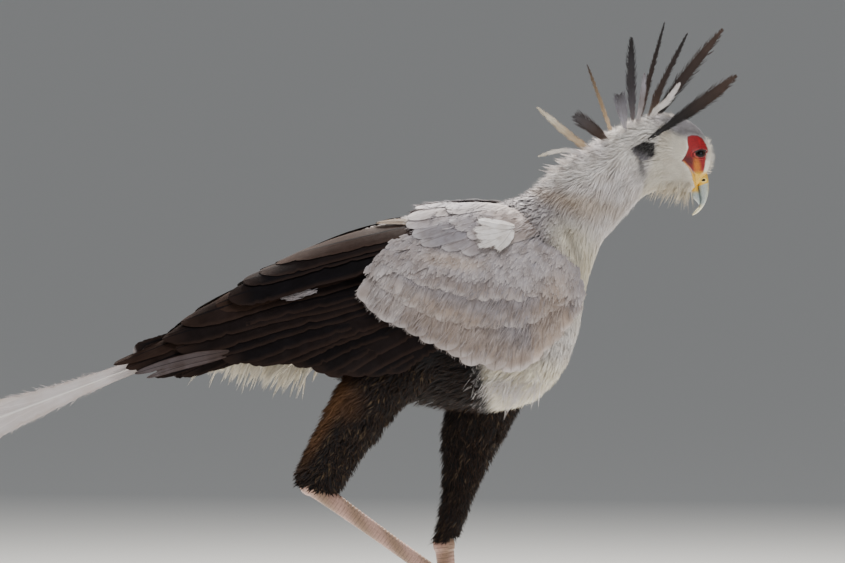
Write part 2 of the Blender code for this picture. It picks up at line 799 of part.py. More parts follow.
def lids(side):
    """Ring of the upper and lower lid round one eye."""
    across = EYE_AXIS.cross(Vector((0.0, 0.0, 1.0))).normalized()
    up = across.cross(EYE_AXIS).normalized()
    rings = []
    for i in range(LID_STEPS):
        angle = 2 * math.pi * i / LID_STEPS
        off = across * LID_HALF_LENGTH * math.cos(angle) + up * LID_HALF_HEIGHT * math.sin(angle)
        reach = math.sqrt(LID_REACH**2 - off.length_squared)
        centre = EYE + off + EYE_AXIS * reach
        out = off.normalized()
        ring = []
        for j in range(LID_SIDES):
            turn = 2 * math.pi * j / LID_SIDES
            ring.append(centre + (out * math.cos(turn) + EYE_AXIS * math.sin(turn)) * LID_RADIUS)
        rings.append(ring)
    vertices = [p for ring in rings for p in ring]
    piece = new_object("lids", vertices, ring_faces(LID_STEPS, LID_SIDES, True))
    return piece if side > 0 else mirrored(piece)


def brow(side):
    points = []
    for i in range(5):
        f = i / 4
        x = BROW_START[0] + (BROW_END[0] - BROW_START[0]) * f
        z = BROW_START[1] + (BROW_END[1] - BROW_START[1]) * f + 0.002 * math.sin(math.pi * f)
        points.append(Vector((x, body_side(x, z) - 0.0004, z)))
    sizes = [BROW_RADIUS * (0.35 + 0.65 * math.sin(math.pi * (i + 0.5) / 5)) for i in range(5)]
    piece = tube("brow", points, [(size, size) for size in sizes], 7)
    return piece if side > 0 else mirrored(piece)


def gape(side):
    """Cutter for the line of the mouth."""
    points = [Vector((x, body_side(x, z), z)) for x, z in GAPE_LINE]
    piece = tube("cut", points, [(GAPE_DEPTH, GAPE_DEPTH)] * len(points), 4)
    return piece if side > 0 else mirrored(piece)


def beard_locks():
    locks = []
    for i in range(BEARD_COUNT):
        share = i / (BEARD_COUNT - 1)
        y = BEARD_Y * (1 - 0.4 * share) * (0, 1, -0.5, -1, 0.5)[i % 5]
        x = BEARD_START[0] + (BEARD_END[0] - BEARD_START[0]) * share
        z = BEARD_START[1] + (BEARD_END[1] - BEARD_START[1]) * share
        root = Vector((x, y, z))
        way = Vector((-0.55 + 0.45 * share + RNG.uniform(-0.08, 0.08), 8 * y, -0.9)).normalized()
        tip = root + way * RNG.uniform(*BEARD_LENGTH)
        bow = Vector((0.0015, 0.0, 0.0))
        path = [root, root.lerp(tip, 0.55) + bow, tip]
        locks.append(feather("lock", path, lambda f: Vector((0.0, 1.0, 0.0)), BEARD_WIDTH,
                             PLUME_THICKNESS, lock_shape))
    return locks


def head():
    node = head_form("head")
    boolean(node, [lids(1), lids(-1), brow(1), brow(-1)] + beard_locks(), "UNION")
    cutters = [nape_form("cut", CUT, 0.0), gape(1), gape(-1)]
    radius = EYE_RADIUS + GAP
    for side in (1, -1):
        centre = Vector((EYE.x, side * EYE.y, EYE.z))
        cutters.append(ball("cut", centre, (radius, radius, radius), 12, 7))
    boolean(node, cutters, "DIFFERENCE")
    keep_largest(node)
    return node


def eye(name, side):
    centre = Vector((EYE.x, side * EYE.y, EYE.z))
    return ball(name, centre, (EYE_RADIUS, EYE_RADIUS, EYE_RADIUS), 12, 7)


def face_slice(first, last, width):
    """Part of the face's end slice, as shares of its height from the top."""
    ux, uz, lx, lz, _ = BODY_RIBS[-1]
    rib = []
    for share in (first, last):
        rib += [ux + (lx - ux) * share, uz + (lz - uz) * share]
    return (*rib, width)


def cere_form(name, grow=0.0, past=SHORT_END):
    ribs = [face_slice(0.0, CERE_SHARE, CERE_WIDTH), CERE_END]
    return rib_loft(name, ribs, 0, 1, 4, 18, BILL_SQUARENESS, 0.0, grow, past)


def cere():
    node = cere_form("cere")
    holes = []
    for side in (1, -1):
        centre = NOSTRIL + Vector((0.0, side * CERE_END[4], 0.0))
        holes.append(ball("cut", centre, NOSTRIL_SIZE, 10, 6))
    boolean(node, holes, "DIFFERENCE")
    keep_largest(node)
    return node


def upper_bill_form(name, grow=0.0, past=SHORT_END):
    last = len(UPPER_BILL_RIBS) - 1
    return rib_loft(name, UPPER_BILL_RIBS, 0, last, 10, 14, BILL_SQUARENESS, 0.0, grow, past)


def lower_bill():
    """The lower mandible, tucked under the upper one."""
    ribs = [face_slice(*LOWER_BILL_SHARES, LOWER_BILL_WIDTH)] + LOWER_BILL_RIBS
    last = len(ribs) - 1
    node = rib_loft("bill_lower", ribs, 0, last, 6, 12, BILL_SQUARENESS, 0.0, 0.0, SHORT_END)
    cutters = [form("cut", CUT, GROWN_END) for form in (upper_bill_form, cere_form)]
    boolean(node, cutters, "DIFFERENCE")
    keep_largest(node)
    return node


# Legs


def thigh_form(name, side, grow=0.0, past=SHORT_END):
    ribs = LEFT_THIGH_RIBS if side > 0 else RIGHT_THIGH_RIBS
    middle = LEFT_LEG_Y if side > 0 else RIGHT_LEG_Y
    last = len(ribs) - 1
    return rib_loft(name, ribs, 0, last, 10, 16, THIGH_SQUARENESS, middle, grow, past)


def thigh(name, side, tarsus_node):
    node = thigh_form(name, side)
    boolean(node, body_cutters() + [grown_copy(tarsus_node)], "DIFFERENCE")
    keep_largest(node)
    return node


def tarsus(name, hock, ankle):
    points = []
    radii = []
    for i in range(7):
        f = i / 6
        swell = 1 + HOCK_SWELL * (1 - f) ** 4 + (ANKLE_SWELL - 1) * f**6
        points.append(hock.lerp(ankle, f))
        radii.append((TARSUS_DEPTH * swell, TARSUS_WIDTH * swell))
    node = tube(name, points, radii, 12)
    boolean(node, [ball("knob", hock, HOCK_SIZE, 12, 7)], "UNION")
    keep_largest(node)
    return node


def toe(start, ahead, sole, length, root, tip, curl, on_floor):
    """A toe and the points that it follows, with its underside level on a floor."""
    path = []
    radii = []
    for i in range(5):
        f = i / 4
        size = (root + (tip - root) * f) * (1 + TOE_PADS * math.cos(4 * math.pi * f))
        drop = root - size if on_floor else curl * length * f * f
        path.append(start + ahead * (length * f) + sole * drop)
        radii.append((size, size))
    return tube("toe", path, radii, 8), path


def claw(name, path, sole):
    """Blunt claw that goes on from the end of a toe."""
    way = (path[-1] - path[-2]).normalized()
    points = []
    sizes = []
    for i in range(4):
        f = i / 3
        bend = CLAW_BEND * max(f - 0.25, 0.0) ** 1.5
        points.append(path[-1] + way * (GAP + CLAW_LENGTH * f) + sole * bend)
        size = CLAW_RADIUS * (1 - f) ** 0.7 + GAP
        sizes.append((size, size * 0.8))
    return tube(name, points, sizes, 8)


def foot(side_name, ankle, shin, pitch, curl, hind_fold, on_floor):
    """Foot and claws. pitch turns the toes down from level, curl bends them to the sole."""
    frame = Matrix.Rotation(math.radians(pitch), 3, "Y")
    sole = frame @ Vector((0.0, 0.0, -1.0))
    hub_end = ankle + shin * SWING_HUB_LENGTH
    if on_floor:
        hub_end = Vector((ankle.x + HUB_FORWARD, ankle.y, FLOOR + MIDDLE_TOE_RADIUS - FLAT_DEPTH))
    start = ankle + shin * GAP
    points = [start, start + shin * HUB_FORWARD, start.lerp(hub_end, 0.7), hub_end]
    top = (TARSUS_DEPTH * ANKLE_SWELL, TARSUS_WIDTH * ANKLE_SWELL)
    radii = [top, top, (HUB_RADIUS, HUB_RADIUS), (HUB_END_RADIUS, HUB_END_RADIUS)]
    hub = tube(f"foot_{side_name}", points, radii, 10)
    toes = []
    claws = []
    for label, heading, length, root, tip in TOES:
        angle = math.radians(heading)
        ahead = Vector((math.cos(angle), math.sin(angle), 0.0))
        if label == "hind":
            ahead.rotate(Matrix.Rotation(math.radians(-hind_fold), 3, "Y"))
        piece, path = toe(hub_end, frame @ ahead, sole, length, root, tip, curl, on_floor)
        toes.append(piece)
        claws.append(claw(f"claw_{label}_{side_name}", path, sole))
    boolean(hub, toes, "UNION")
    if on_floor:
        for obj in [hub] + claws:
            boolean(obj, [floor_cutter()], "DIFFERENCE")
    keep_largest(hub)
    return hub, claws


# Base


def base():
    rings = []
    for height, inset in ((0.0, 0.0), (BASE_HEIGHT - BASE_BEVEL, 0.0), (BASE_HEIGHT, BASE_BEVEL)):
        ring = []
        for j in range(36):
            angle = 2 * math.pi * j / 36
            x = (BASE_LENGTH / 2 - inset) * math.cos(angle)
            y = (BASE_WIDTH / 2 - inset) * math.sin(angle)
            ring.append(Vector((x, y, height)))
        rings.append(ring)
    return loft("stand_base", rings)


def build():
    for obj in list(bpy.data.objects):
        bpy.data.objects.remove(obj)
    grey = finish_material("grey_plumage", (0.52, 0.51, 0.53), 0.85)
    black = finish_material("black_plumage", (0.02, 0.017, 0.018), 0.6)
    cream = finish_material("pale_plumage", (0.74, 0.70, 0.66), 0.9)
    horn = finish_material("bill_horn", (0.42, 0.50, 0.55), 0.35)
    yellow = finish_material("cere_skin", (0.80, 0.50, 0.05), 0.5)
    scale = finish_material("leg_skin", (0.55, 0.38, 0.32), 0.6)
    claw_horn = finish_material("claw_horn", (0.05, 0.045, 0.04), 0.4)
    dark_eye = finish_material("eye", (0.05, 0.02, 0.01), 0.08)
    board = finish_material("base_board", (0.75, 0.73, 0.70), 0.5)

    paint(torso_form("torso"), grey)
    paint(neck_form("neck"), grey)
    paint(crest(), cream)
    paint(head(), cream)
    paint(cere(), yellow)
    paint(upper_bill_form("bill_upper"), horn)
    paint(lower_bill(), horn)
    paint(tail(), black)
    paint(base(), board)
    for side_name, side, hock, ankle, pitch, curl, hind_fold in (
        ("right", -1, RIGHT_HOCK, RIGHT_ANKLE, SWING_PITCH, SWING_CURL, SWING_HIND_FOLD),
        ("left", 1, LEFT_HOCK, LEFT_ANKLE, 0.0, 0.0, 0.0),
    ):
        paint(eye(f"eye_{side_name}", side), dark_eye)
        paint(wing(f"wing_{side_name}", side), grey)
        shank = tarsus(f"tarsus_{side_name}", hock, ankle)
        paint(shank, scale)
        paint(thigh(f"thigh_{side_name}", side, shank), black)
        shin = (ankle - hock).normalized()
        hub, claws = foot(side_name, ankle, shin, pitch, curl, hind_fold, side > 0)
        paint(hub, scale)
        for piece in claws:
            paint(piece, claw_horn)


build()
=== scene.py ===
# %% [markdown]
# # A secretary bird in Blender
# This lesson dresses a plain CAD model of a secretary bird in skin, horn and feathers. The
# new pieces lie in and on them, in metres, with +Z up. The bird faces +X, and its left
# side is +Y. The camera looks at its right side.

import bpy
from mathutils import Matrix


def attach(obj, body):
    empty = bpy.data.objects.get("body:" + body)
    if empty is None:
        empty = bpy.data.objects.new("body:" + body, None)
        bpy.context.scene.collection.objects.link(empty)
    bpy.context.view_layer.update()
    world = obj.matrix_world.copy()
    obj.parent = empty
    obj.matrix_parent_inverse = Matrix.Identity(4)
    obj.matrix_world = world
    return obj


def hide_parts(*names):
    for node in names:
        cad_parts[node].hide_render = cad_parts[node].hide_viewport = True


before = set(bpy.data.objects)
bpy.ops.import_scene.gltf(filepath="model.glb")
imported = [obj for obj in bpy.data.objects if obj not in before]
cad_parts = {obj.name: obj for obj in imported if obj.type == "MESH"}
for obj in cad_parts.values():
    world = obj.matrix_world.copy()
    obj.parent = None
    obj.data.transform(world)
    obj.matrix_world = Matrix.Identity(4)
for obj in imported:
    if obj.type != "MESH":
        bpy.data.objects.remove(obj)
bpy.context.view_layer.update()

# %% [markdown]
# Everything else that the lesson needs comes with Blender. One seeded random source serves
# all the small differences between feathers, so that each run gives the same bird.

# %% Tools and the random source
import math

import bpy
import numpy as np
from mathutils import Matrix, Vector

rng = np.random.default_rng(7)
BODY = "root"

# %% [markdown]
# The photograph shows the bird square from its right side. One pixel is 1.48 mm there, so
# a place in the 845 x 563 photograph turns into a place in the bird's middle plane.

# %% From a pixel to metres
PIXEL = 0.00148
ORIGIN_PIXEL = (462.0, 766.0)
BASE_TOP = 0.018


def seen(px, py):
    """The x and z in metres of a pixel of the photograph."""
    return (px - ORIGIN_PIXEL[0]) * PIXEL, BASE_TOP + (ORIGIN_PIXEL[1] - py) * PIXEL


print("tip of the bill", seen(692.5, 215))

# %% [markdown]
# A long lens far away keeps the side view nearly parallel, as in the photograph. The camera
# stands a little above the bird's back and looks slightly down.

# %% Camera
CAMERA_DISTANCE = 12.0
CAMERA_ELEVATION = math.radians(3.0)
SENSOR_WIDTH = 36.0
PHOTO_WIDTH, PHOTO_HEIGHT = 845, 563

aim_x, aim_z = seen(PHOTO_WIDTH / 2, PHOTO_HEIGHT / 2)
aim = Vector((aim_x, 0.0, aim_z))
lens = bpy.data.cameras.new("camera")
lens.sensor_width = SENSOR_WIDTH
lens.lens = SENSOR_WIDTH * CAMERA_DISTANCE / (PHOTO_WIDTH * PIXEL)
camera = bpy.data.objects.new("camera", lens)
way = Vector((0.0, -math.cos(CAMERA_ELEVATION), math.sin(CAMERA_ELEVATION)))
camera.location = aim + way * CAMERA_DISTANCE
camera.rotation_euler = (-way).to_track_quat("-Z", "Y").to_euler()
bpy.context.scene.collection.objects.link(camera)
bpy.context.scene.camera = camera
print("lens", round(lens.lens, 1), "mm")

# %% [markdown]
# The light is soft, as under a bright overcast sky. A strong round light stands behind and
# above the bird and draws the bright rim along its back and breast. Two weak ones fill the
# near side. They are round, because their glints show in the wet eye.

# %% Lights and sky
def panel(name, place, size, power, colour=(1.0, 1.0, 1.0)):
    """A round area light that faces the bird."""
    light = bpy.data.lights.new(name, "AREA")
    light.shape = "DISK"
    light.size = size
    light.energy = power
    light.color = colour
    lamp = bpy.data.objects.new(name, light)
    lamp.location = place
    lamp.rotation_euler = (aim - Vector(place)).to_track_quat("-Z", "Y").to_euler()
    bpy.context.scene.collection.objects.link(lamp)


panel("rim_panel", (0.2, 1.9, 2.9), 1.0, 420.0, (1.0, 0.96, 0.9))
panel("top_panel", (0.1, -0.9, 3.0), 1.4, 52.0)
panel("front_panel", (2.4, -2.2, 1.2), 1.4, 16.0)

SKY_COLOUR = (0.8, 0.82, 0.85, 1.0)
SKY_STRENGTH = 0.3

sky = bpy.data.worlds.new("studio")
sky.use_nodes = True
background = sky.node_tree.nodes["Background"]
background.inputs["Color"].default_value = SKY_COLOUR
background.inputs["Strength"].default_value = SKY_STRENGTH
bpy.context.scene.world = sky
print("lights", len(bpy.data.lights))

# %% [markdown]
# The floor is a plain pale ground, wide enough that its edge never shows. It is part of the
# stage, not of the bird.

# %% Floor
FLOOR_RADIUS = 150.0
PAPER_COLOUR = (0.82, 0.82, 0.8, 1.0)
PAPER_ROUGHNESS = 0.9

bpy.ops.object.select_all(action="DESELECT")
bpy.ops.mesh.primitive_circle_add(vertices=64, radius=FLOOR_RADIUS, fill_type="NGON")
floor = bpy.context.object
floor.name = "floor"

paper = bpy.data.materials.new("backdrop_paper")
paper.use_nodes = True
surface = paper.node_tree.nodes["Principled BSDF"]
surface.inputs["Base Color"].default_value = PAPER_COLOUR
surface.inputs["Roughness"].default_value = PAPER_ROUGHNESS
floor.data.materials.append(paper)
print("floor is", 2 * FLOOR_RADIUS, "m wide")

# %% [markdown]
# The same named tones colour the skin and the feathers above it, so that nothing foreign
# shows where the coat is thin. They are linear RGB.

# %% Tones
TONES = {
    "ash": (0.27, 0.248, 0.268),
    "dove": (0.265, 0.255, 0.29),
    "pale": (0.68, 0.64, 0.65),
    "white": (0.8, 0.77, 0.74),
    "cream": (0.74, 0.69, 0.56),
    "sand": (0.4, 0.315, 0.26),
    "ochre": (0.42, 0.29, 0.16),
    "tan": (0.47, 0.35, 0.22),
    "umber": (0.052, 0.03, 0.022),
    "rust": (0.13, 0.058, 0.022),
    "black": (0.006, 0.005, 0.006),
    "slate": (0.06, 0.055, 0.062),
    "red": (0.38, 0.005, 0.009),
    "crimson": (0.15, 0.004, 0.006),
    "orange": (0.6, 0.2, 0.015),
    "yellow": (0.78, 0.46, 0.03),
}
TONES = {name: np.array(tone) for name, tone in TONES.items()}
DARKEST, LIGHTEST = 0.002, 0.9
print(len(TONES), "tones")


def blend(a, b, share):
    """A mix of two tones for each value in share."""
    share = np.clip(np.asarray(share, float), 0.0, 1.0)[..., None]
    a = TONES[a] if isinstance(a, str) else a
    b = TONES[b] if isinstance(b, str) else b
    return a * (1 - share) + b * share


def ramp(value, low, high):
    """0 below low, 1 above high, smooth in between."""
    share = np.clip((np.asarray(value, float) - low) / (high - low), 0.0, 1.0)
    return share * share * (3 - 2 * share)


def natural(tone):
    return np.clip(tone, DARKEST, LIGHTEST)


# %% [markdown]
# Every vane has fine barbs that run out from its shaft at a slant. One node group draws them
# from the feather's own UV map, where U runs across and V from root to tip. It returns a
# shade, masks for the shaft and the worn edge, and a height for the bump.

# %% Node group for the barbs of a vane
def new_group(name, inputs, outputs):
    """An empty shader node group with named sockets, and its input and output nodes."""
    group = bpy.data.node_groups.new(name, "ShaderNodeTree")
    for label, kind in inputs:
        group.interface.new_socket(label, in_out="INPUT", socket_type=kind)
    for label, kind in outputs:
        group.interface.new_socket(label, in_out="OUTPUT", socket_type=kind)
    return group, group.nodes.new("NodeGroupInput"), group.nodes.new("NodeGroupOutput")


def wire(tree, source, target):
    tree.links.new(source, target)


def sums(tree, operation, first, second=None, third=None):
    """A Math node fed by sockets or numbers, and its result."""
    node = tree.nodes.new("ShaderNodeMath")
    node.operation = operation
    for i, value in enumerate((first, second, third)):
        if value is None:
            continue
        if isinstance(value, (int, float)):
            node.inputs[i].default_value = value
        else:
            wire(tree, value, node.inputs[i])
    return node.outputs[0]


def span(tree, value, low, high):
    """A Map Range node that turns low..high into 0..1, smoothly."""
    node = tree.nodes.new("ShaderNodeMapRange")
    node.interpolation_type = "SMOOTHSTEP"
    node.inputs["From Min"].default_value = low
    node.inputs["From Max"].default_value = high
    wire(tree, value, node.inputs["Value"])
    return node.outputs["Result"]


NUMBER, VECTOR = "NodeSocketFloat", "NodeSocketVector"
SHAFT_SPAN = (0.015, 0.05)
WORN_EDGE_SPAN = (0.34, 0.49)
WORN_TIP_SPAN = (0.86, 0.99)
CHANCE_STRETCH = 97.0
WAVE_SHARE = 0.3

barbs, put, got = new_group(
    "vane_barbs",
    [("Vane", VECTOR), ("Chance", NUMBER), ("Barbs", NUMBER), ("Slant", NUMBER)],
    [("Shade", NUMBER), ("Shaft", NUMBER), ("Edge", NUMBER), ("Height", NUMBER)],
)
split = barbs.nodes.new("ShaderNodeSeparateXYZ")
wire(barbs, put.outputs["Vane"], split.inputs[0])
off = sums(barbs, "ABSOLUTE", sums(barbs, "SUBTRACT", split.outputs["X"], 0.5))
backwards = sums(barbs, "MULTIPLY", put.outputs["Slant"], -1.0)
slanted = sums(barbs, "MULTIPLY_ADD", off, backwards, split.outputs["Y"])
phase = sums(barbs, "MULTIPLY", slanted, put.outputs["Barbs"])
streak = barbs.nodes.new("ShaderNodeTexNoise")
streak.noise_dimensions = "2D"
streak.inputs["Detail"].default_value = 3.0
streak.inputs["Scale"].default_value = 1.0
place = barbs.nodes.new("ShaderNodeCombineXYZ")
wire(barbs, phase, place.inputs["X"])
wire(barbs, sums(barbs, "MULTIPLY_ADD", put.outputs["Chance"], CHANCE_STRETCH, off), place.inputs["Y"])
wire(barbs, place.outputs[0], streak.inputs["Vector"])
wave = sums(barbs, "SINE", sums(barbs, "MULTIPLY", phase, 2.0))
wire(barbs, streak.outputs["Fac"], got.inputs["Shade"])
wire(barbs, sums(barbs, "SUBTRACT", 1.0, span(barbs, off, *SHAFT_SPAN)), got.inputs["Shaft"])
worn_edge = span(barbs, off, *WORN_EDGE_SPAN)
worn_tip = span(barbs, split.outputs["Y"], *WORN_TIP_SPAN)
wire(barbs, sums(barbs, "MAXIMUM", worn_edge, worn_tip), got.inputs["Edge"])
wire(barbs, sums(barbs, "MULTIPLY_ADD", wave, WAVE_SHARE, streak.outputs["Fac"]), got.inputs["Height"])
print("group", barbs.name, len(barbs.nodes), "nodes")

# %% [markdown]
# Each feather mesh carries its own tone in the attribute "tint" and a random number in
# "chance". The plumage material multiplies them by the barbs, lightens the edge and draws
# the shaft. The kinds of plumage differ in how glossy, how streaked and how worn they are.
# First come the few steps that every material of the bird needs.

# %% Steps of a material
def tree_of(name, roughness, specular=0.5, sheen=0.0):
    """A new material with a Principled BSDF, and that shader."""
    material = bpy.data.materials.new(name)
    material.use_nodes = True
    shader = material.node_tree.nodes["Principled BSDF"]
    shader.inputs["Roughness"].default_value = roughness
    shader.inputs["Specular IOR Level"].default_value = specular
    shader.inputs["Sheen Weight"].default_value = sheen
    return material, material.node_tree, shader


def mixed(tree, share, first, second, way="MIX"):
    """A Mix node for colours. share, first and second are sockets, numbers or colours."""
    node = tree.nodes.new("ShaderNodeMix")
    node.data_type = "RGBA"
    node.blend_type = way
    node.clamp_factor = True
    for label, value in (("Factor", share), ("A", first), ("B", second)):
        kind = "VALUE" if label == "Factor" else "RGBA"
        slot = [s for s in node.inputs if s.name == label and s.type == kind][0]
        if isinstance(value, (int, float)):
            slot.default_value = value
        elif isinstance(value, (tuple, list, np.ndarray)):
            slot.default_value = (*[float(v) for v in value[:3]], 1.0)
        else:
            wire(tree, value, slot)
    return [s for s in node.outputs if s.type == "RGBA"][0]


def bumped(tree, shader, height, strength, distance):
    node = given(tree.nodes.new("ShaderNodeBump"), Strength=strength, Distance=distance)
    wire(tree, height, node.inputs["Height"])
    wire(tree, node.outputs["Normal"], shader.inputs["Normal"])


def given(node, **values):
    """A node with inputs set by name, written with _ for a space."""
    for name, value in values.items():
        node.inputs[name.replace("_", " ")].default_value = value
    return node


def attribute(tree, name, output="Color"):
    node = tree.nodes.new("ShaderNodeAttribute")
    node.attribute_name = name
    return node.outputs[output]


def object_place(tree):
    return tree.nodes.new("ShaderNodeTexCoord").outputs["Object"]


def noise(tree, place, scale, detail=2.0):
    node = given(tree.nodes.new("ShaderNodeTexNoise"), Scale=scale, Detail=detail)
    wire(tree, place, node.inputs["Vector"])
    return node.outputs["Fac"]


def streaked(tree, tint, share, contrast):
    """The tint made darker where share is 0 and lighter where it is 1."""
    dark = mixed(tree, 1.0, tint, (1 - contrast,) * 3, "MULTIPLY")
    light = mixed(tree, 1.0, tint, (1 + contrast,) * 3, "MULTIPLY")
    return mixed(tree, share, dark, light)


print("the barbs have", len(barbs.interface.items_tree), "sockets")

# %% [markdown]
# The plumage material puts these steps together. Its large faint mottle looks like dust and wear.

# %% Plumage materials
MOTTLE_SCALE, MOTTLE_DETAIL = 55.0, 6.0
MOTTLE_SPAN = (0.3, 0.7)
BARB_BUMP, BARB_HEIGHT = 0.35, 0.0004


def plumage(name, roughness, barb_count, slant, contrast, edge, edge_share, shaft, shaft_share,
            sheen=0.0, specular=0.3, dull=(0.72, 0.68, 0.64)):
    """Material for feathers. edge and shaft name the tones of the worn edge and the quill."""
    material, tree, shader = tree_of(name, roughness, specular, sheen)
    group = tree.nodes.new("ShaderNodeGroup")
    group.node_tree = barbs
    uv = tree.nodes.new("ShaderNodeUVMap")
    uv.uv_map = "vane"
    wire(tree, uv.outputs[0], group.inputs["Vane"])
    wire(tree, attribute(tree, "chance", "Fac"), group.inputs["Chance"])
    given(group, Barbs=barb_count, Slant=slant)
    patches = span(tree, noise(tree, object_place(tree), MOTTLE_SCALE, MOTTLE_DETAIL), *MOTTLE_SPAN)
    tint = attribute(tree, "tint")
    mottled = mixed(tree, patches, mixed(tree, 1.0, tint, dull, "MULTIPLY"), tint)
    vane = streaked(tree, mottled, group.outputs["Shade"], contrast)
    at_edge = sums(tree, "MULTIPLY", group.outputs["Edge"], edge_share)
    at_shaft = sums(tree, "MULTIPLY", group.outputs["Shaft"], shaft_share)
    worn = mixed(tree, at_edge, vane, TONES[edge])
    wire(tree, mixed(tree, at_shaft, worn, TONES[shaft]), shader.inputs["Base Color"])
    bumped(tree, shader, group.outputs["Height"], BARB_BUMP, BARB_HEIGHT)
    return material


PLUMAGE = {
    "body": plumage("grey_feathers", 0.85, 24, 0.9, 0.28, "pale", 0.25, "sand", 0.25, 0.15),
    "covert": plumage("covert_feathers", 0.8, 46, 0.9, 0.3, "pale", 0.14, "umber", 0.35, 0.05),
    "flight": plumage("flight_feathers", 0.55, 150, 0.5, 0.45, "umber", 0.34, "black", 0.8, 0.0, 0.06),
    "soft": plumage("soft_white_feathers", 0.9, 10, 0.9, 0.14, "white", 0.2, "cream", 0.2, 0.2,
                    dull=(0.86, 0.83, 0.8)),
    "thigh": plumage("dark_leg_feathers", 0.75, 14, 0.9, 0.35, "rust", 0.35, "black", 0.2, 0.0),
    "tail": plumage("tail_feathers", 0.6, 150, 0.7, 0.4, "sand", 0.3, "white", 0.95, 0.1,
                    dull=(0.92, 0.89, 0.87)),
    "plume": plumage("crest_feathers", 0.6, 30, 0.6, 0.3, "umber", 0.08, "umber", 0.3, 0.0),
}
print("plumage materials", list(PLUMAGE))

# %% [markdown]
# Thousands of feathers are drawn as joined meshes from arrays, because copies of single
# objects would be far too slow. A feather is a row of slim cross-sections from root to tip,
# joined to a closed skin. The mesh gets the UV map of the vane, a second map that keeps each
# feather at its root's place on the bird's skin, and the two attributes.

# %% Faces of a feather
PATCH = 0.003
MOST_TRIANGLES = 190000
SOFT_EDGE = math.radians(50)
THIN_SECTION = [(-1.0, 0.0), (0.0, 1.0), (1.0, 0.0), (0.0, -0.5)]
HAIR_SECTION = [(-1.0, 0.0), (0.0, 1.0), (1.0, 0.0)]
WIDE_SECTION = [
    (-1.0, 0.0), (-0.5, 0.9), (0.0, 1.2), (0.5, 0.9), (1.0, 0.0), (0.5, -0.6), (-0.5, -0.6),
]


def unit(v):
    return v / np.maximum(np.linalg.norm(v, axis=-1, keepdims=True), 1e-12)


def new_piece(name, mesh):
    piece = bpy.data.objects.new(name, mesh)
    bpy.context.scene.collection.objects.link(piece)
    return piece


def ring_faces(n, rows, k):
    """Corners, and corners for each face, of n closed feathers of rows x k points."""
    first = (np.arange(n) * rows * k)[:, None, None]
    row = (np.arange(rows - 1) * k)[None, :, None]
    here = np.arange(k)[None, None, :]
    after = (here + 1) % k
    low, high = first + row, first + row + k
    quads = np.stack([low + here, low + after, high + after, high + here], -1).reshape(-1, 4)
    ends = np.concatenate([
        first[:, 0] + np.arange(k)[None, ::-1],
        first[:, 0] + (rows - 1) * k + np.arange(k)[None, :],
    ])
    corners = np.concatenate([quads.ravel(), ends.ravel()]).astype(np.int32)
    totals = np.concatenate([np.full(len(quads), 4), np.full(len(ends), k)]).astype(np.int32)
    return corners, totals


print("a thin feather of 4 rows has", int((ring_faces(1, 4, 4)[1] - 2).sum()), "triangles")

# %% [markdown]
# The faces become a mesh in one step, with both UV maps, the attributes and the material.

# %% Meshes of feathers
def mesh_of_rings(name, points, vane, tint, chance, patch, kind):
    """One object of N closed feathers. points is N x rows x section x 3."""
    n, rows, k, _ = points.shape
    corners, totals = ring_faces(n, rows, k)
    starts = (np.cumsum(totals) - totals).astype(np.int32)
    mesh = bpy.data.meshes.new(name)
    mesh.vertices.add(n * rows * k)
    mesh.loops.add(len(corners))
    mesh.polygons.add(len(totals))
    mesh.vertices.foreach_set("co", points.astype(np.float32).ravel())
    mesh.loops.foreach_set("vertex_index", corners)
    mesh.polygons.foreach_set("loop_start", starts)
    mesh.update(calc_edges=True)
    vane = np.broadcast_to(vane, (n, rows, k, 2)).reshape(-1, 2)
    root = np.repeat(patch, rows * k, axis=0)
    spot = np.clip(root, 0.0, 1.0 - PATCH) + vane * PATCH
    for label, places in (("vane", vane), ("OFBake", spot)):
        layer = mesh.uv_layers.new(name=label)
        layer.data.foreach_set("uv", places[corners].astype(np.float32).ravel())
    mesh.uv_layers.active = mesh.uv_layers["vane"]
    colour = mesh.attributes.new("tint", "FLOAT_COLOR", "POINT")
    rgba = np.ones((n, rows, k, 4), np.float32)
    rgba[..., :3] = tint[:, :, None, :]
    colour.data.foreach_set("color", rgba.ravel())
    lot = mesh.attributes.new("chance", "FLOAT", "POINT")
    lot.data.foreach_set("value", np.repeat(chance, rows * k).astype(np.float32))
    mesh.set_sharp_from_angle(angle=SOFT_EDGE)
    piece = new_piece(name, mesh)
    mesh.materials.append(PLUMAGE[kind])
    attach(piece, BODY)
    print(name, n, "feathers,", int((totals - 2).sum()), "triangles")
    return piece


def strands(name, centre, normal, half, tint, patch, kind, thick=0.0004, camber=0.15,
            section=THIN_SECTION):
    """Feathers along centre lines (N x rows x 3), flat across their normals."""
    n, rows, _ = centre.shape
    around = len(section)
    most = MOST_TRIANGLES // ((rows - 1) * 2 * around + 2 * around - 4)
    if n > most:
        shares = np.array_split(np.arange(n), -(-n // most))
        return [
            strands(f"{name}_{i + 1}", centre[c], normal[c], half[c], tint[c], patch[c], kind,
                    thick, camber, section)
            for i, c in enumerate(shares)
        ]
    along = unit(np.gradient(centre, axis=1))
    lateral = unit(np.cross(along, normal))
    normal = np.cross(lateral, along)
    share = np.array([s for s, _ in section])
    raised = np.array([h for _, h in section])
    half = half[..., None]
    points = centre[:, :, None, :] + lateral[:, :, None, :] * (half * share)[..., None]
    height = raised * np.minimum(thick, half * 0.5) - camber * half * share**2
    points = points + normal[:, :, None, :] * height[..., None]
    vane = np.empty((rows, around, 2))
    vane[..., 0] = 0.5 + 0.5 * share
    vane[..., 1] = np.linspace(0, 1, rows)[:, None]
    return mesh_of_rings(name, points, vane, tint, rng.random(n), patch, kind)


print("a mesh of feathers has up to", MOST_TRIANGLES, "triangles")

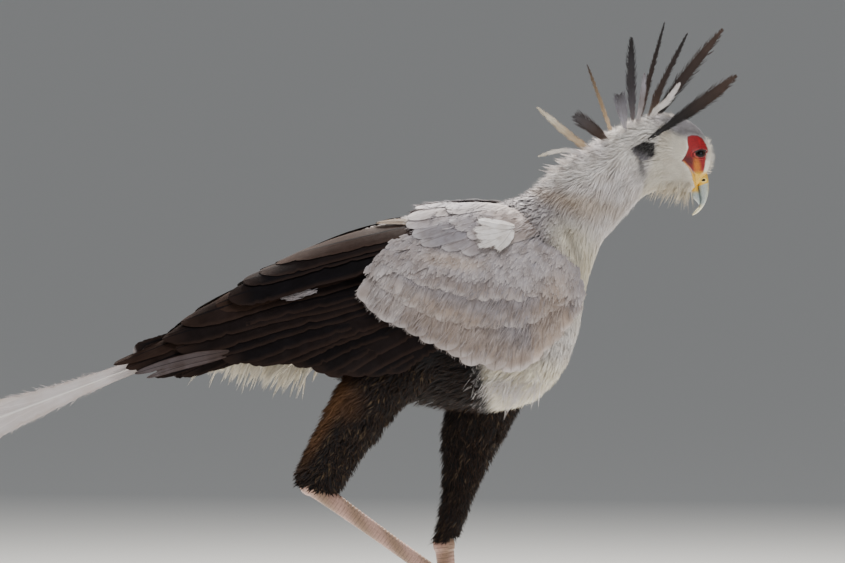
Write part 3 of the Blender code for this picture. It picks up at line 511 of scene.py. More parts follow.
# %% [markdown]
# The body is a row of flat slices, as in the solids: the upper and lower point of each in the
# side view, and half its width. A smooth curve runs through them, and each slice is a rounded
# square. The same function then gives the skin, and the place, normal and lie of each feather.

# %% Slices of body and legs
BODY_RIBS = [
    (-0.345, 0.668, -0.345, 0.64, 0.01), (-0.315, 0.694, -0.318, 0.638, 0.02),
    (-0.285, 0.722, -0.288, 0.632, 0.031), (-0.25, 0.752, -0.255, 0.622, 0.044),
    (-0.203, 0.782, -0.213, 0.606, 0.06), (-0.144, 0.812, -0.163, 0.582, 0.075),
    (-0.084, 0.831, -0.107, 0.562, 0.084), (-0.025, 0.842, -0.044, 0.549, 0.088),
    (0.027, 0.846, 0.024, 0.543, 0.09), (0.064, 0.852, 0.098, 0.556, 0.088),
    (0.089, 0.862, 0.146, 0.6, 0.081), (0.11, 0.874, 0.169, 0.654, 0.072),
    (0.128, 0.887, 0.179, 0.708, 0.063), (0.145, 0.9, 0.189, 0.749, 0.055),
    (0.166, 0.915, 0.204, 0.789, 0.049), (0.189, 0.93, 0.223, 0.814, 0.045),
    (0.21, 0.944, 0.244, 0.838, 0.042), (0.229, 0.957, 0.263, 0.858, 0.039),
    (0.252, 0.969, 0.278, 0.868, 0.036), (0.279, 0.978, 0.291, 0.871, 0.034),
    (0.305, 0.98, 0.305, 0.873, 0.0325), (0.329, 0.975, 0.318, 0.871, 0.031),
    (0.348, 0.963, 0.327, 0.869, 0.028), (0.361, 0.946, 0.332, 0.867, 0.0245),
    (0.368, 0.926, 0.335, 0.866, 0.0205), (0.366, 0.907, 0.337, 0.867, 0.0155),
    (0.3618, 0.8933, 0.339, 0.869, 0.0115),
]
RIGHT_THIGH_RIBS = [
    (-0.12, 0.66, 0.02, 0.65, 0.04), (-0.172, 0.598, -0.058, 0.578, 0.04),
    (-0.195, 0.56, -0.098, 0.541, 0.034), (-0.213, 0.523, -0.124, 0.505, 0.028),
    (-0.231, 0.487, -0.15, 0.475, 0.024), (-0.243, 0.46, -0.167, 0.447, 0.0205),
    (-0.247, 0.442, -0.183, 0.424, 0.0175),
]
LEFT_THIGH_RIBS = [
    (-0.06, 0.65, 0.115, 0.64, 0.04), (-0.026, 0.556, 0.094, 0.566, 0.038),
    (-0.03, 0.505, 0.068, 0.51, 0.032), (-0.028, 0.46, 0.043, 0.466, 0.026),
    (-0.029, 0.413, 0.022, 0.422, 0.021), (-0.037, 0.37, 0.006, 0.38, 0.018),
    (-0.043, 0.348, -0.007, 0.35, 0.0155),
]
FORMS = {
    "body": (BODY_RIBS, 2.25, 0.0),
    "thigh_right": (RIGHT_THIGH_RIBS, 2.2, -0.05),
    "thigh_left": (LEFT_THIGH_RIBS, 2.2, 0.046),
}


def smooth(rows, t):
    """Values of a smooth curve through the rows, at row positions t."""
    rows = np.asarray(rows, float)
    t = np.clip(t, 0.0, len(rows) - 1.0)
    i = np.minimum(t.astype(int), len(rows) - 2)
    f = (t - i)[..., None]
    a = rows[np.maximum(i - 1, 0)]
    b = rows[i]
    c = rows[i + 1]
    d = rows[np.minimum(i + 2, len(rows) - 1)]
    return b + 0.5 * f * ((c - a) + f * ((2 * a - 5 * b + 4 * c - d) + f * ((d - a) + 3 * (b - c))))


def on_form(form, t, turn, depth=0.0):
    """Points of a form at slice t and turn, which is 0 on top and a quarter turn on the left."""
    ribs, square, middle_y = FORMS[form]
    t, turn, depth = np.broadcast_arrays(np.asarray(t, float), np.asarray(turn, float), depth)
    rib = smooth(ribs, t)
    half_x = (rib[..., 0] - rib[..., 2]) / 2
    half_z = (rib[..., 1] - rib[..., 3]) / 2
    shrink = 1 - depth / np.hypot(half_x, half_z)
    c = np.cos(turn)
    s = np.sin(turn)
    along = np.sign(c) * np.abs(c) ** (2 / square) * shrink
    across = np.sign(s) * np.abs(s) ** (2 / square) * np.maximum(rib[..., 4] - depth, 0.001)
    x = (rib[..., 0] + rib[..., 2]) / 2 + half_x * along
    z = (rib[..., 1] + rib[..., 3]) / 2 + half_z * along
    return np.stack([x, middle_y + across, z], -1)


SLICE_STEP = 0.02


def form_frame(form, t, turn, depth=0.0):
    """Point, outward normal, and the steps in metres for one unit of t and of turn."""
    h = SLICE_STEP
    point = on_form(form, t, turn, depth)
    by_t = (on_form(form, t + h, turn, depth) - on_form(form, t - h, turn, depth)) / (2 * h)
    by_turn = (on_form(form, t, turn + h, depth) - on_form(form, t, turn - h, depth)) / (2 * h)
    normal = unit(np.cross(by_turn, by_t))
    middle = on_form(form, t, turn, 0.0) - on_form(form, t, turn + math.pi, 0.0)
    normal *= np.sign((normal * middle).sum(-1, keepdims=True))
    return point, normal, by_t, by_turn


print("body width at the shoulders", round(2 * float(smooth(BODY_RIBS, np.array(8.0))[4]), 3), "m")

# %% [markdown]
# Each form gets its own field on the second UV map, from its slices and turns. A feather's
# patch lies there at the place of its root, so baked colour follows the skin and not a view.

# %% Fields of the second map, and the marks
FIELDS = {
    "body": (0.0, 0.0, 0.54, 1.0), "thigh_right": (0.55, 0.0, 0.13, 0.49),
    "thigh_left": (0.55, 0.5, 0.13, 0.49), "wing_right": (0.69, 0.0, 0.3, 0.49),
    "wing_left": (0.69, 0.5, 0.3, 0.49),
}


def field_place(form, across, along):
    """UV of shares 0 to 1 across and along a form's own field."""
    u, v, wide, high = FIELDS[form]
    return np.stack([u + wide * across, v + high * along], -1)


def form_patch(form, t, turn):
    last = len(FORMS[form][0]) - 1
    across = (np.asarray(turn) / (2 * math.pi) + 0.5) % 1.0
    return field_place(form, across, np.clip(t / last, 0, 1))


def pixels(point):
    """Photograph pixels of points, for marks that were measured there."""
    px = ORIGIN_PIXEL[0] + point[..., 0] / PIXEL
    py = ORIGIN_PIXEL[1] - (point[..., 2] - BASE_TOP) / PIXEL
    return px, py


def spot(px, py, centre, radii, tilt=0.0, soft=0.35):
    """1 inside a tilted oval in pixels, fading to 0 outside."""
    dx = px - centre[0]
    dy = py - centre[1]
    c, s = math.cos(math.radians(tilt)), math.sin(math.radians(tilt))
    reach = np.hypot((dx * c + dy * s) / radii[0], (-dx * s + dy * c) / radii[1])
    return 1 - ramp(reach, 1 - soft, 1 + soft)


RED_SKIN = [
    (686.5, 135.8), (691, 134.4), (697, 135), (701.5, 137.5), (705, 142.5), (708, 149),
    (707.6, 154), (705, 160), (704.2, 167), (703, 172), (699, 174.5), (695, 173.5), (692, 170),
    (688.5, 166), (684, 161.5), (681, 160), (684.5, 154.5), (687.4, 147), (686.3, 141),
]
GAPE = [(683.0, 160.6), (688.8, 167.2), (691.8, 173.4), (694.2, 181.8), (696.0, 187.0)]
WEDGE = [(631.6, 146.5), (645, 140), (653.8, 142), (654.2, 153), (649, 159), (642, 158.5), (635, 153.5)]


def reach_of(px, py, path, closed):
    """Distance in pixels to a path, negative inside it if it is closed."""
    path = np.asarray(path, float)
    ends = np.roll(path, -1, axis=0) if closed else path[1:]
    starts = path if closed else path[:-1]
    best = np.full(px.shape, 1e9)
    inside = np.zeros(px.shape, bool)
    for (ax, ay), (bx, by) in zip(starts, ends):
        dx, dy = bx - ax, by - ay
        share = np.clip(((px - ax) * dx + (py - ay) * dy) / (dx ** 2 + dy ** 2), 0, 1)
        best = np.minimum(best, np.hypot(px - ax - share * dx, py - ay - share * dy))
        crosses = (ay > py) != (by > py)
        inside ^= crosses & (px < dx * (py - ay) / (dy + 1e-12) + ax)
    return np.where(inside, -best, best) if closed else best


print("the bare face has", len(RED_SKIN), "corners")

# %% [markdown]
# Each mark is a soft oval or a soft step in the photograph's pixels. Skin, feathers and bare
# face all read the same marks.

# %% Marks of body and legs
def dark_belly(px, py):
    """1 on the black part between the legs and behind the white breast."""
    return ramp(py, 335, 350) * ramp(px + 0.2 * (400 - py), 494, 484) * ramp(px, 318, 340)


def body_marks(point):
    """Tone of skin and feathers at points of the body, neck and head."""
    px, py = pixels(point)
    tone = blend("ash", "pale", 0.3 * ramp(py, 250, 195))
    tone = blend(tone, "umber", 0.9 * ramp(px, 414, 398) * ramp(py, 345, 325))
    chest = ramp(px - 0.25 * (py - 240), 535, 572) * ramp(py, 205, 240)
    front = np.maximum(chest, ramp(py, 345, 372) * ramp(px, 470, 490))
    tone = blend(tone, "cream", front)
    tone = blend(tone, "white", 0.7 * spot(px, py, (566, 330), (32, 34)))
    neck = ramp(px + 0.7 * (205 - py), 545, 590) * ramp(py, 300, 240)
    tone = blend(tone, blend("pale", "white", 0.35), neck)
    tone = blend(tone, "tan", 0.5 * spot(px, py, (586, 203), (34, 8), 18, 0.8))
    # A thin dark line along the wing's front edge is painted shade where wing and breast meet.
    tone = blend(tone, "umber", 0.55 * spot(px, py, (573, 246), (3.5, 17), -24, 0.6))
    tone = blend(tone, "ochre", 0.35 * spot(px, py, (562, 203), (34, 8), 24))
    tone = blend(tone, "white", spot(px, py, (633, 140), (28, 26), 0, 0.3))
    tone = blend(tone, "white", 0.6 * spot(px, py, (575, 172), (44, 12), -12, 0.6))
    tone = blend(tone, blend("cream", "white", 0.4), ramp(px + 0.3 * (py - 150), 650, 658))
    tone = blend(tone, "dove", 0.9 * spot(px, py, (686, 127), (28, 10), 18, 0.4))
    wedge = reach_of(px, py, WEDGE, True)
    aside = np.abs(point[..., 1]) > 0.012
    ear = blend("black", "dove", 0.55 * ramp(py + 0.4 * (644 - px), 149, 159))
    tone = blend(tone, ear, ramp(-wedge, -0.6, 0.6) * aside)
    tone = blend(tone, "slate", 0.8 * spot(px, py, (641, 167), (3, 10), -14, 0.5) * aside)
    tone = blend(tone, "cream", 0.9 * ramp(py, 340, 352) * ramp(px, 345, 315))
    return blend(tone, "black", dark_belly(px, py))


def thigh_marks(point):
    px, py = pixels(point)
    rear = spot(px, py, (324, 415), (9, 48), 26, 0.6)
    waves = np.sin(px * 0.9 + 3 * np.sin(py * 0.31)) * np.sin(py * 0.77 + 2 * np.sin(px * 0.23))
    fleck = ramp(waves, 0.72, 0.98)
    tone = blend("black", "rust", 0.85 * rear + 0.5 * spot(px, py, (345, 398), (16, 18), 0, 0.7))
    return blend(tone, "ochre", 0.32 * fleck)


FIELDS_USED = sum(w * h for _, _, w, h in FIELDS.values())
print("second map is", round(100 * FIELDS_USED), "percent full")

# %% [markdown]
# The skin is the flesh under the coat. Body, legs and the fleshy parts of the wings are lofted
# a few millimetres inside the solids and joined. A voxel remesh then makes them one closed
# skin with no seam, and its colour follows the same marks as the feathers.

# %% Skin
BODY_DEPTHS = [(0, 0.006), (12, 0.007), (14, 0.007), (18, 0.005), (20, 0.0028), (26, 0.0022)]
LEG_DEPTH = 0.005


def form_depth(form, t):
    if form == "body":
        return np.interp(t, *np.transpose(BODY_DEPTHS))
    return np.full(np.shape(t), LEG_DEPTH)


def select_only(pieces):
    bpy.ops.object.select_all(action="DESELECT")
    for piece in pieces:
        piece.select_set(True)
    bpy.context.view_layer.objects.active = pieces[0]


def loft(name, rings):
    """Closed mesh through rings of the same number of points."""
    rings = np.asarray(rings)
    count, around, _ = rings.shape
    base = np.arange(count - 1)[:, None] * around
    j = np.arange(around)[None, :]
    k = (j + 1) % around
    quads = np.stack([base + j, base + k, base + around + k, base + around + j], -1).reshape(-1, 4)
    ends = [list(range(around))[::-1], list(range((count - 1) * around, count * around))]
    mesh = bpy.data.meshes.new(name)
    mesh.from_pydata(rings.reshape(-1, 3).tolist(), [], quads.tolist() + ends)
    piece = new_piece(name, mesh)
    select_only([piece])
    bpy.ops.object.mode_set(mode="EDIT")
    bpy.ops.mesh.select_all(action="SELECT")
    bpy.ops.mesh.normals_make_consistent(inside=False)
    bpy.ops.object.mode_set(mode="OBJECT")
    return piece


def form_rings(form, first, last, count, around):
    t = np.linspace(first, last, count)
    turn = np.linspace(0, 2 * math.pi, around, endpoint=False)
    return on_form(form, t[:, None], turn[None, :], form_depth(form, t)[:, None])


def apply(piece, kind, **settings):
    """Adds a modifier, sets it and applies it."""
    select_only([piece])
    modifier = piece.modifiers.new(kind.lower(), kind)
    for key, value in settings.items():
        setattr(modifier, key, value)
    bpy.ops.object.modifier_apply(modifier=modifier.name)


def joined(name, pieces):
    select_only(pieces)
    if len(pieces) > 1:
        bpy.ops.object.join()
    piece = bpy.context.object
    piece.name = piece.data.name = name
    return piece


def points_of(mesh):
    flat = np.empty(len(mesh.vertices) * 3, np.float32)
    mesh.vertices.foreach_get("co", flat)
    return flat.reshape(-1, 3).astype(float)


def give_tint(mesh, tone):
    rgba = np.ones((len(mesh.vertices), 4), np.float32)
    rgba[:, :3] = tone
    mesh.attributes.new("tint", "FLOAT_COLOR", "POINT").data.foreach_set("color", rgba.ravel())


print("the skin lies", 1000 * LEG_DEPTH, "mm under the coat of the legs")

# %% [markdown]
# The wing's outer surface is a smooth hull round the folded wing, given by stations along it.
# A place in the side view finds its point on the hull, and the hull's slope gives the normal.

# %% Surface of the folded wing
WING_STATIONS = [
    (-0.565, 0.585, 0.025, 0.025, 0.022), (-0.506, 0.596, 0.036, 0.036, 0.027),
    (-0.447, 0.604, 0.058, 0.055, 0.034), (-0.388, 0.615, 0.09, 0.078, 0.042),
    (-0.329, 0.628, 0.111, 0.095, 0.05), (-0.269, 0.64, 0.124, 0.11, 0.064),
    (-0.21, 0.655, 0.137, 0.13, 0.081), (-0.151, 0.672, 0.148, 0.145, 0.1),
    (-0.092, 0.682, 0.156, 0.155, 0.115), (-0.033, 0.69, 0.158, 0.16, 0.122),
    (0.027, 0.695, 0.156, 0.15, 0.121), (0.086, 0.7, 0.148, 0.13, 0.111),
    (0.145, 0.705, 0.1, 0.095, 0.088), (0.18, 0.712, 0.06, 0.06, 0.062),
]
WING_SQUARE = 2.3
WING_CORE = [
    (-0.235, 0.742, 0.664), (-0.19, 0.775, 0.655), (-0.13, 0.806, 0.645), (-0.06, 0.826, 0.652),
    (0.01, 0.837, 0.64), (0.07, 0.841, 0.638), (0.12, 0.824, 0.652), (0.158, 0.786, 0.678),
    (0.178, 0.75, 0.7),
]
STATION_X = np.array([row[0] for row in WING_STATIONS])


SLOPE_STEP = 0.002
STEEPEST_SHARE = 0.985
CORE_SINK = 0.008
SKIN_VOXEL = 0.0043
LEG_TOP, LEG_FRONT = 0.585, 0.1


def wing_row(x, z):
    """Middle height, half height and half breadth of a wing at x, on the side where z lies."""
    row = smooth(WING_STATIONS, np.interp(x, STATION_X, np.arange(len(STATION_X))))
    height = np.where(z >= row[..., 1], row[..., 2], row[..., 3])
    return row[..., 1], height, row[..., 4]


def wing_field(x, y, z):
    middle, height, breadth = wing_row(x, z)
    return np.abs(y / breadth) ** WING_SQUARE + np.abs((z - middle) / height) ** WING_SQUARE


def wing_normal(x, y, z):
    h = SLOPE_STEP
    return unit(np.stack([
        wing_field(x + h, y, z) - wing_field(x - h, y, z),
        wing_field(x, y + h, z) - wing_field(x, y - h, z),
        wing_field(x, y, z + h) - wing_field(x, y, z - h),
    ], -1))


def on_wing(x, z, lift, side=1):
    """Points and normals of a wing's hull, seen from the side at x and z."""
    x, z, lift = np.broadcast_arrays(np.asarray(x, float), np.asarray(z, float), np.asarray(lift, float))
    middle, height, breadth = wing_row(x, z)
    share = np.clip((z - middle) / height, -STEEPEST_SHARE, STEEPEST_SHARE)
    y = breadth * (1 - np.abs(share) ** WING_SQUARE) ** (1 / WING_SQUARE)
    z = middle + share * height
    normal = wing_normal(x, y, z)
    point = np.stack([x, y, z], -1) + normal * lift[..., None]
    turned = np.array([1.0, side, 1.0])
    return point * turned, normal * turned


def wing_patch(side, x, z):
    middle, height, _ = wing_row(x, z)
    angle = np.arcsin(np.clip((z - middle) / height, -1, 1)) / math.pi + 0.5
    along = (x - STATION_X[0]) / (STATION_X[-1] - STATION_X[0])
    return field_place("wing_left" if side > 0 else "wing_right", np.clip(along, 0, 1), angle)


print("the wings' hulls are", round(2 * max(row[4] for row in WING_STATIONS), 3), "m wide together")

# %% [markdown]
# Now the parts are lofted and joined. The remesh closes the seams, and smoothing takes away
# its small steps.

# %% One closed skin
def core_rings(side):
    rings = []
    for x, top, bottom in smooth(WING_CORE, np.linspace(0, len(WING_CORE) - 1, 26)):
        z = np.linspace(top, bottom, 14)
        outer, _ = on_wing(np.full(14, x), z, -CORE_SINK, side)
        inner = np.array([(x, side * 0.03, bottom + s * (top - bottom)) for s in (0.2, 0.5, 0.8)])
        rings.append(np.concatenate([outer, inner]))
    return rings


parts = [loft("body_part", form_rings("body", 0.05, 26, 150, 72))]
parts += [loft("thigh_part", form_rings(form, 0.3, 5.9, 40, 40)) for form in ("thigh_right", "thigh_left")]
parts += [loft("wing_part", core_rings(side)) for side in (1, -1)]
skin = joined("skin", parts)
apply(skin, "REMESH", mode="VOXEL", voxel_size=SKIN_VOXEL)
apply(skin, "SMOOTH", iterations=3, factor=0.5)
bpy.ops.object.shade_smooth()
spots = points_of(skin.data)
legs = ((spots[:, 2] < LEG_TOP) & (spots[:, 0] < LEG_FRONT))[:, None]
give_tint(skin.data, np.where(legs, thigh_marks(spots), body_marks(spots)))
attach(skin, BODY)
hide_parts("torso", "neck", "head", "thigh_left", "thigh_right")
print("skin", len(skin.data.polygons), "faces")

# %% [markdown]
# Where the coat is thin, the skin shows as down. Its material takes the marks and breaks them
# up with noise, both in tone and in height.

# %% Skin material
DOWN_SCALE, DOWN_DETAIL = 700.0, 4.0
DOWN_BUMP, DOWN_HEIGHT = 0.5, 0.001

skin_finish, tree, shader = tree_of("downy_skin", 0.9, 0.2, 0.2)
down = noise(tree, object_place(tree), DOWN_SCALE, DOWN_DETAIL)
tint = attribute(tree, "tint")
darker = mixed(tree, 1.0, tint, (0.55, 0.53, 0.52), "MULTIPLY")
wire(tree, mixed(tree, down, darker, tint), shader.inputs["Base Color"])
bumped(tree, shader, down, DOWN_BUMP, DOWN_HEIGHT)
skin.data.materials.clear()
skin.data.materials.append(skin_finish)
print(skin_finish.name, len(tree.nodes), "nodes")

# %% [markdown]
# Body feathers lie like tiles that point to the tail. Roots are scattered evenly over a form,
# and each feather runs from its root along the form, rising a little to its tip. Past the
# form's end it runs straight on.

# %% Scattering and laying feathers
FEWEST_TRIES = 30000
END_MARGIN = 0.03
SINK_POWER = 1.5


def scatter(form, first, last, count, keep=None):
    """Evenly spread roots on a form: slice and turn of each."""
    tries = max(5 * count, FEWEST_TRIES)
    t = rng.uniform(first, last, tries)
    turn = rng.uniform(-math.pi, math.pi, tries)
    point, _, by_t, by_turn = form_frame(form, t, turn)
    weight = np.linalg.norm(np.cross(by_t, by_turn), axis=-1)
    if keep is not None:
        weight = weight * keep(point, t)
    chosen = rng.choice(len(t), count, replace=False, p=weight / weight.sum())
    return t[chosen], turn[chosen]


def lay(form, t, turn, length, rows, way, droop, sink, lift, sway):
    """Centre lines and normals, N x rows, of feathers that lie along a form."""
    last = len(FORMS[form][0]) - 1.0
    _, _, by_t, by_turn = form_frame(form, t, turn)
    share = np.linspace(0, 1, rows)
    step_t = way * length / np.linalg.norm(by_t, axis=-1)
    side = np.sign(np.sin(turn))
    step_turn = (droop * side + sway) * length / np.maximum(np.linalg.norm(by_turn, axis=-1), 0.004)
    ts = t[:, None] + step_t[:, None] * share
    turns = turn[:, None] + step_turn[:, None] * share ** 1.5
    depth = sink[:, None] - (sink + lift)[:, None] * share ** SINK_POWER
    inside = np.clip(ts, END_MARGIN, last - END_MARGIN)
    point, normal, by_t, _ = form_frame(form, inside, turns, depth)
    return point + by_t * (ts - inside)[..., None], normal


def flow(point):
    """A slow random wander of the lie, so that neighbouring feathers part into locks."""
    x, y, z = point[..., 0] * 70, point[..., 1] * 60, point[..., 2] * 65
    locks = 0.5 * np.sin(x + 2.1 * np.sin(z)) * np.cos(y - 0.7 * z)
    return locks + 0.3 * np.sin(2.3 * z + 1.7 * x - 2.9 * y)


LEAF = np.array([0.45, 0.95, 1.0, 0.62, 0.12])
LANCE = np.array([0.6, 1.0, 0.85, 0.5, 0.06])


def widths(half, shape, rows):
    """Half widths, N x rows, from a shape given at five places along the feather."""
    return half[:, None] * np.interp(np.linspace(0, 1, rows), np.linspace(0, 1, len(shape)), shape)


def coat(name, form, first, last, count, length, half, kind, marks, rows=4, way=-1, droop=0.15,
         lift=0.001, spread=0.25, shape=LANCE, keep=None, stray=0.12, tip=None, wild=0.0,
         section=HAIR_SECTION, locks=0.0, deep=None):
    """A coat of scattered feathers over part of a form. lift may be a function of place."""
    t, turn = scatter(form, first, last, count, keep)
    point, _, _, _ = form_frame(form, t, turn)
    long = length * (1 + spread * rng.uniform(-1, 1, count))
    half = half * (1 + spread * rng.uniform(-1, 1, count))
    sink = np.full(count, deep) if deep else form_depth(form, t)
    rise = (lift(point) if callable(lift) else lift) * rng.uniform(0.2, 1.0 + wild, count)
    rise = rise * (1 + 0.8 * locks * flow(point + 1.3))
    sway = rng.normal(0, stray, count) + locks * flow(point)
    centre, normal = lay(form, t, turn, long, rows, way, droop, sink, rise, sway)
    normal = unit(normal + rng.normal(0, 0.1 + 0.1 * wild, (count, 1, 3)))
    tint = marks(centre) * (1 + rng.normal(0, 0.07, (count, 1, 1)))
    if tip is not None:
        tint = tip(tint)
    return strands(name, centre, normal, widths(half, shape, rows), natural(tint),
                   form_patch(form, t, turn), kind, section=section)


print("a body feather keeps its root within", 1000 * BODY_DEPTHS[0][1], "mm of the coat's outside")

# %% [markdown]
# The back and the breast carry the largest body feathers, the belly dark furry ones. Under
# the folded wings none are needed. Towards the neck the feathers get narrow and shaggy, and on
# the head they are only a few millimetres long. First come the limits of these coats.

# %% Limits of the coats
def open_body(point, t):
    """0 where a folded wing or the dark belly covers the body."""
    x, y, z = point[..., 0], point[..., 1], point[..., 2]
    under = (wing_field(x, y, z) < 0.8) & (x < 0.12) & (np.abs(y) > 0.02) & (z > 0.64)
    belly = dark_belly(*pixels(point)) > 0.5
    return np.where((under & (x > -0.3)) | belly, 0.0, 1.0)


def belly_only(point, t):
    return np.where(dark_belly(*pixels(point)) > 0.3, 1.0, 0.0)


MOUTH_EDGE = [(160.6, 682.4), (167.2, 687.9), (173.4, 690.7), (181.8, 692.8), (187, 694.2)]
FACE_START = 25.4


def face_free(point, t):
    """0 on the bare face between eye and bill."""
    px, py = pixels(point)
    bare = (reach_of(px, py, RED_SKIN, True) < 0.4) & (np.abs(point[..., 1]) > 0.004)
    mouth = (py > 161) & (px > np.interp(py, *np.transpose(MOUTH_EDGE)))
    return np.where(bare | mouth | (t > FACE_START), 0.0, 1.0)


def lighter_tip(tint):
    share = np.linspace(0, 1, tint.shape[1])[None, :]
    return blend(tint, "white", 0.22 * share ** 2 * ramp(tint.mean(-1), 0.05, 0.3))


def shaggy(least, most, low, high):
    """A lift that grows with height, from least below low to least plus most above high."""
    return lambda point: least + most * ramp(point[:, 2], low, high)


print("feathers stop at slice", FACE_START, "of", len(BODY_RIBS) - 1)

# %% [markdown]
# Six coats follow, from the back to the head. They differ only in number, length, width and
# wildness. Hairlike feathers have a section of three points only.

# %% Coat of body, neck and head
coat("coat_back_and_breast", "body", 0.3, 12.5, 3400, 0.024, 0.005, "body", body_marks,
     keep=open_body, lift=0.0012, tip=lighter_tip, wild=0.5, shape=LEAF, section=THIN_SECTION)
coat("coat_breast_down", "body", 7.5, 12.8, 5000, 0.018, 0.0013, "soft", body_marks,
     keep=open_body, lift=0.003, stray=0.2, wild=1.0, locks=0.45)
coat("coat_belly", "body", 2.0, 11.0, 2200, 0.017, 0.0016, "thigh", body_marks, rows=3,
     keep=belly_only, lift=0.003, stray=0.2, wild=0.8, locks=0.45)
coat("coat_neck", "body", 12.0, 17.6, 10000, 0.026, 0.00095, "soft", body_marks,
     lift=shaggy(0.0015, 0.004, 0.84, 0.93), stray=0.12, wild=1.2, locks=0.7)
coat("coat_nape", "body", 16.6, 20.8, 6300, 0.016, 0.00078, "soft", body_marks,
     lift=shaggy(0.001, 0.003, 0.9, 0.96), stray=0.18, wild=1.2, locks=0.7)
coat("coat_head", "body", 19.8, 25.5, 16500, 0.0062, 0.00034, "soft", body_marks, rows=3,
     lift=0.0008, stray=0.1, keep=face_free, wild=0.2, locks=0.25, deep=0.001)

# %% [markdown]
# The feathered legs are dark and furry, with rusty fringes behind.

# %% Coat of the legs
for form in ("thigh_right", "thigh_left"):
    coat("coat_" + form, form, 0.5, 5.75, 5200, 0.019, 0.0018, "thigh", thigh_marks, way=1, rows=3,
         droop=0.0, lift=0.003, stray=0.2, wild=0.9, locks=0.5)

# %% [markdown]
# A folded wing is a stack of tiers. Every vane is draped over the wing's hull, a few tenths of
# a millimetre thick, with its lower edge raised so that it covers the upper edge of the next.
# Small gaps in the outline stand for split barbs, and the tip is round. Barbs also come loose
# at the edges of real feathers, so a vane may get a fringe: thin strands that start at both
# edges of its outer half and point outwards and to the tip.

# %% Vanes on the wing
def wing_project(point, lift):
    """Points of the left wing's hull on the way to the given ones, raised by lift."""
    x, y, z = point[..., 0], point[..., 1], point[..., 2]
    middle, height, breadth = wing_row(x, z)
    up = np.abs((z - middle) / height) ** (WING_SQUARE / 2)
    out = (np.maximum(y, 0.02 * breadth) / breadth) ** (WING_SQUARE / 2)
    angle = np.arctan2(up, out)
    y = breadth * np.cos(angle) ** (2 / WING_SQUARE)
    z = middle + np.sign(z - middle) * height * np.sin(angle) ** (2 / WING_SQUARE)
    normal = wing_normal(x, y, z)
    return np.stack([x, y, z], -1) + normal * lift[..., None], normal


def split_edges(count, rows, splits, depth):
    """Factors N x rows x 2 that nick both edges of a vane where its barbs part."""
    factor = 1 + 0.015 * rng.normal(0, 1, (count, rows, 2))
    nicks = rng.random((count, rows, 2)) < splits / rows
    nicks[:, : rows // 5] = False
    return np.where(nicks, factor * (1 - depth * rng.random((count, rows, 2))), factor)


def round_tip(f, blunt):
    """Factors that round a vane off over the last share of its length."""
    end = np.maximum(f - (1 - blunt), 0) / blunt
    return np.sqrt(np.clip(1 - end ** 2.2, 0.003, 1))


def closed_vane(top, bottom, share, f):
    """Top and underside joined to closed sections, and their places on the vane map."""
    points = np.concatenate([top, bottom[:, :, ::-1]], axis=2)
    vane = np.zeros((len(f), points.shape[2], 2))
    vane[..., 0] = 0.5 + 0.5 * np.concatenate([share, share[1:-1][::-1]])
    vane[..., 1] = f[:, None]
    return points, vane


MIRROR = np.array([1.0, -1.0, 1.0])
BARB_HALF = 0.0003


def add_fringe(name, side, top, down, normal, tint, f, fringe, place, kind, times=1):
    """Free barb ends along the outer half of both edges of each vane."""
    count = len(top)
    ahead = unit(np.gradient(top[:, :, top.shape[2] // 2], axis=1))
    pick = np.flatnonzero((f > 0.45) & (f < 0.985))
    pick = np.concatenate([pick, pick[f[pick] > 0.75]] * times)
    bits = []
    for edge, sign in ((0, -1.0), (-1, 1.0)):
        start = top[:, pick, edge] - down[:, pick] * sign * 0.0008
        start = start + rng.normal(0, 0.0006, start.shape)
        way = unit(ahead[:, pick] * 0.85 + down[:, pick] * sign * (0.55 - 0.35 * f[pick])[:, None])
        way = way + rng.normal(0, 0.16, way.shape)
        long = fringe * rng.uniform(0.4, 1.35, (count, len(pick), 1, 1))
        bits.append(start[:, :, None] + way[:, :, None] * long * np.linspace(0, 1, 3)[:, None])
    centre = np.concatenate(bits, axis=1)
    both = np.concatenate([normal[:, pick]] * 2, axis=1)[:, :, None]
    faces = np.broadcast_to(both, centre.shape).reshape(-1, 3, 3)
    centre = centre.reshape(-1, 3, 3)
    tone = np.concatenate([tint[:, pick]] * 2, axis=1).reshape(-1, 1, 3)
    tone = tone * rng.uniform(0.8, 1.25, (len(centre), 1, 1))
    if side < 0:
        centre, faces = centre * MIRROR, faces * MIRROR
    strands(name + "_fringe", centre, faces, widths(np.full(len(centre), BARB_HALF), LANCE, 3),
            natural(np.repeat(tone, 3, axis=1)), np.repeat(place, 2 * len(pick), axis=0), kind,
            0.0002, 0.0, HAIR_SECTION)


print("a fringe's barb is", 2000 * BARB_HALF, "mm wide at the most")

# %% [markdown]
# A draped vane starts as a bowed line in the side view. Its points are laid across that line,
# pushed onto the hull and lifted to the tier's height, with a raised shaft in the middle.

# %% Draped vanes
VANE_THICKNESS = 0.0005
SHAFT_HEIGHT = 0.0004
ROOT_SINK = 0.006


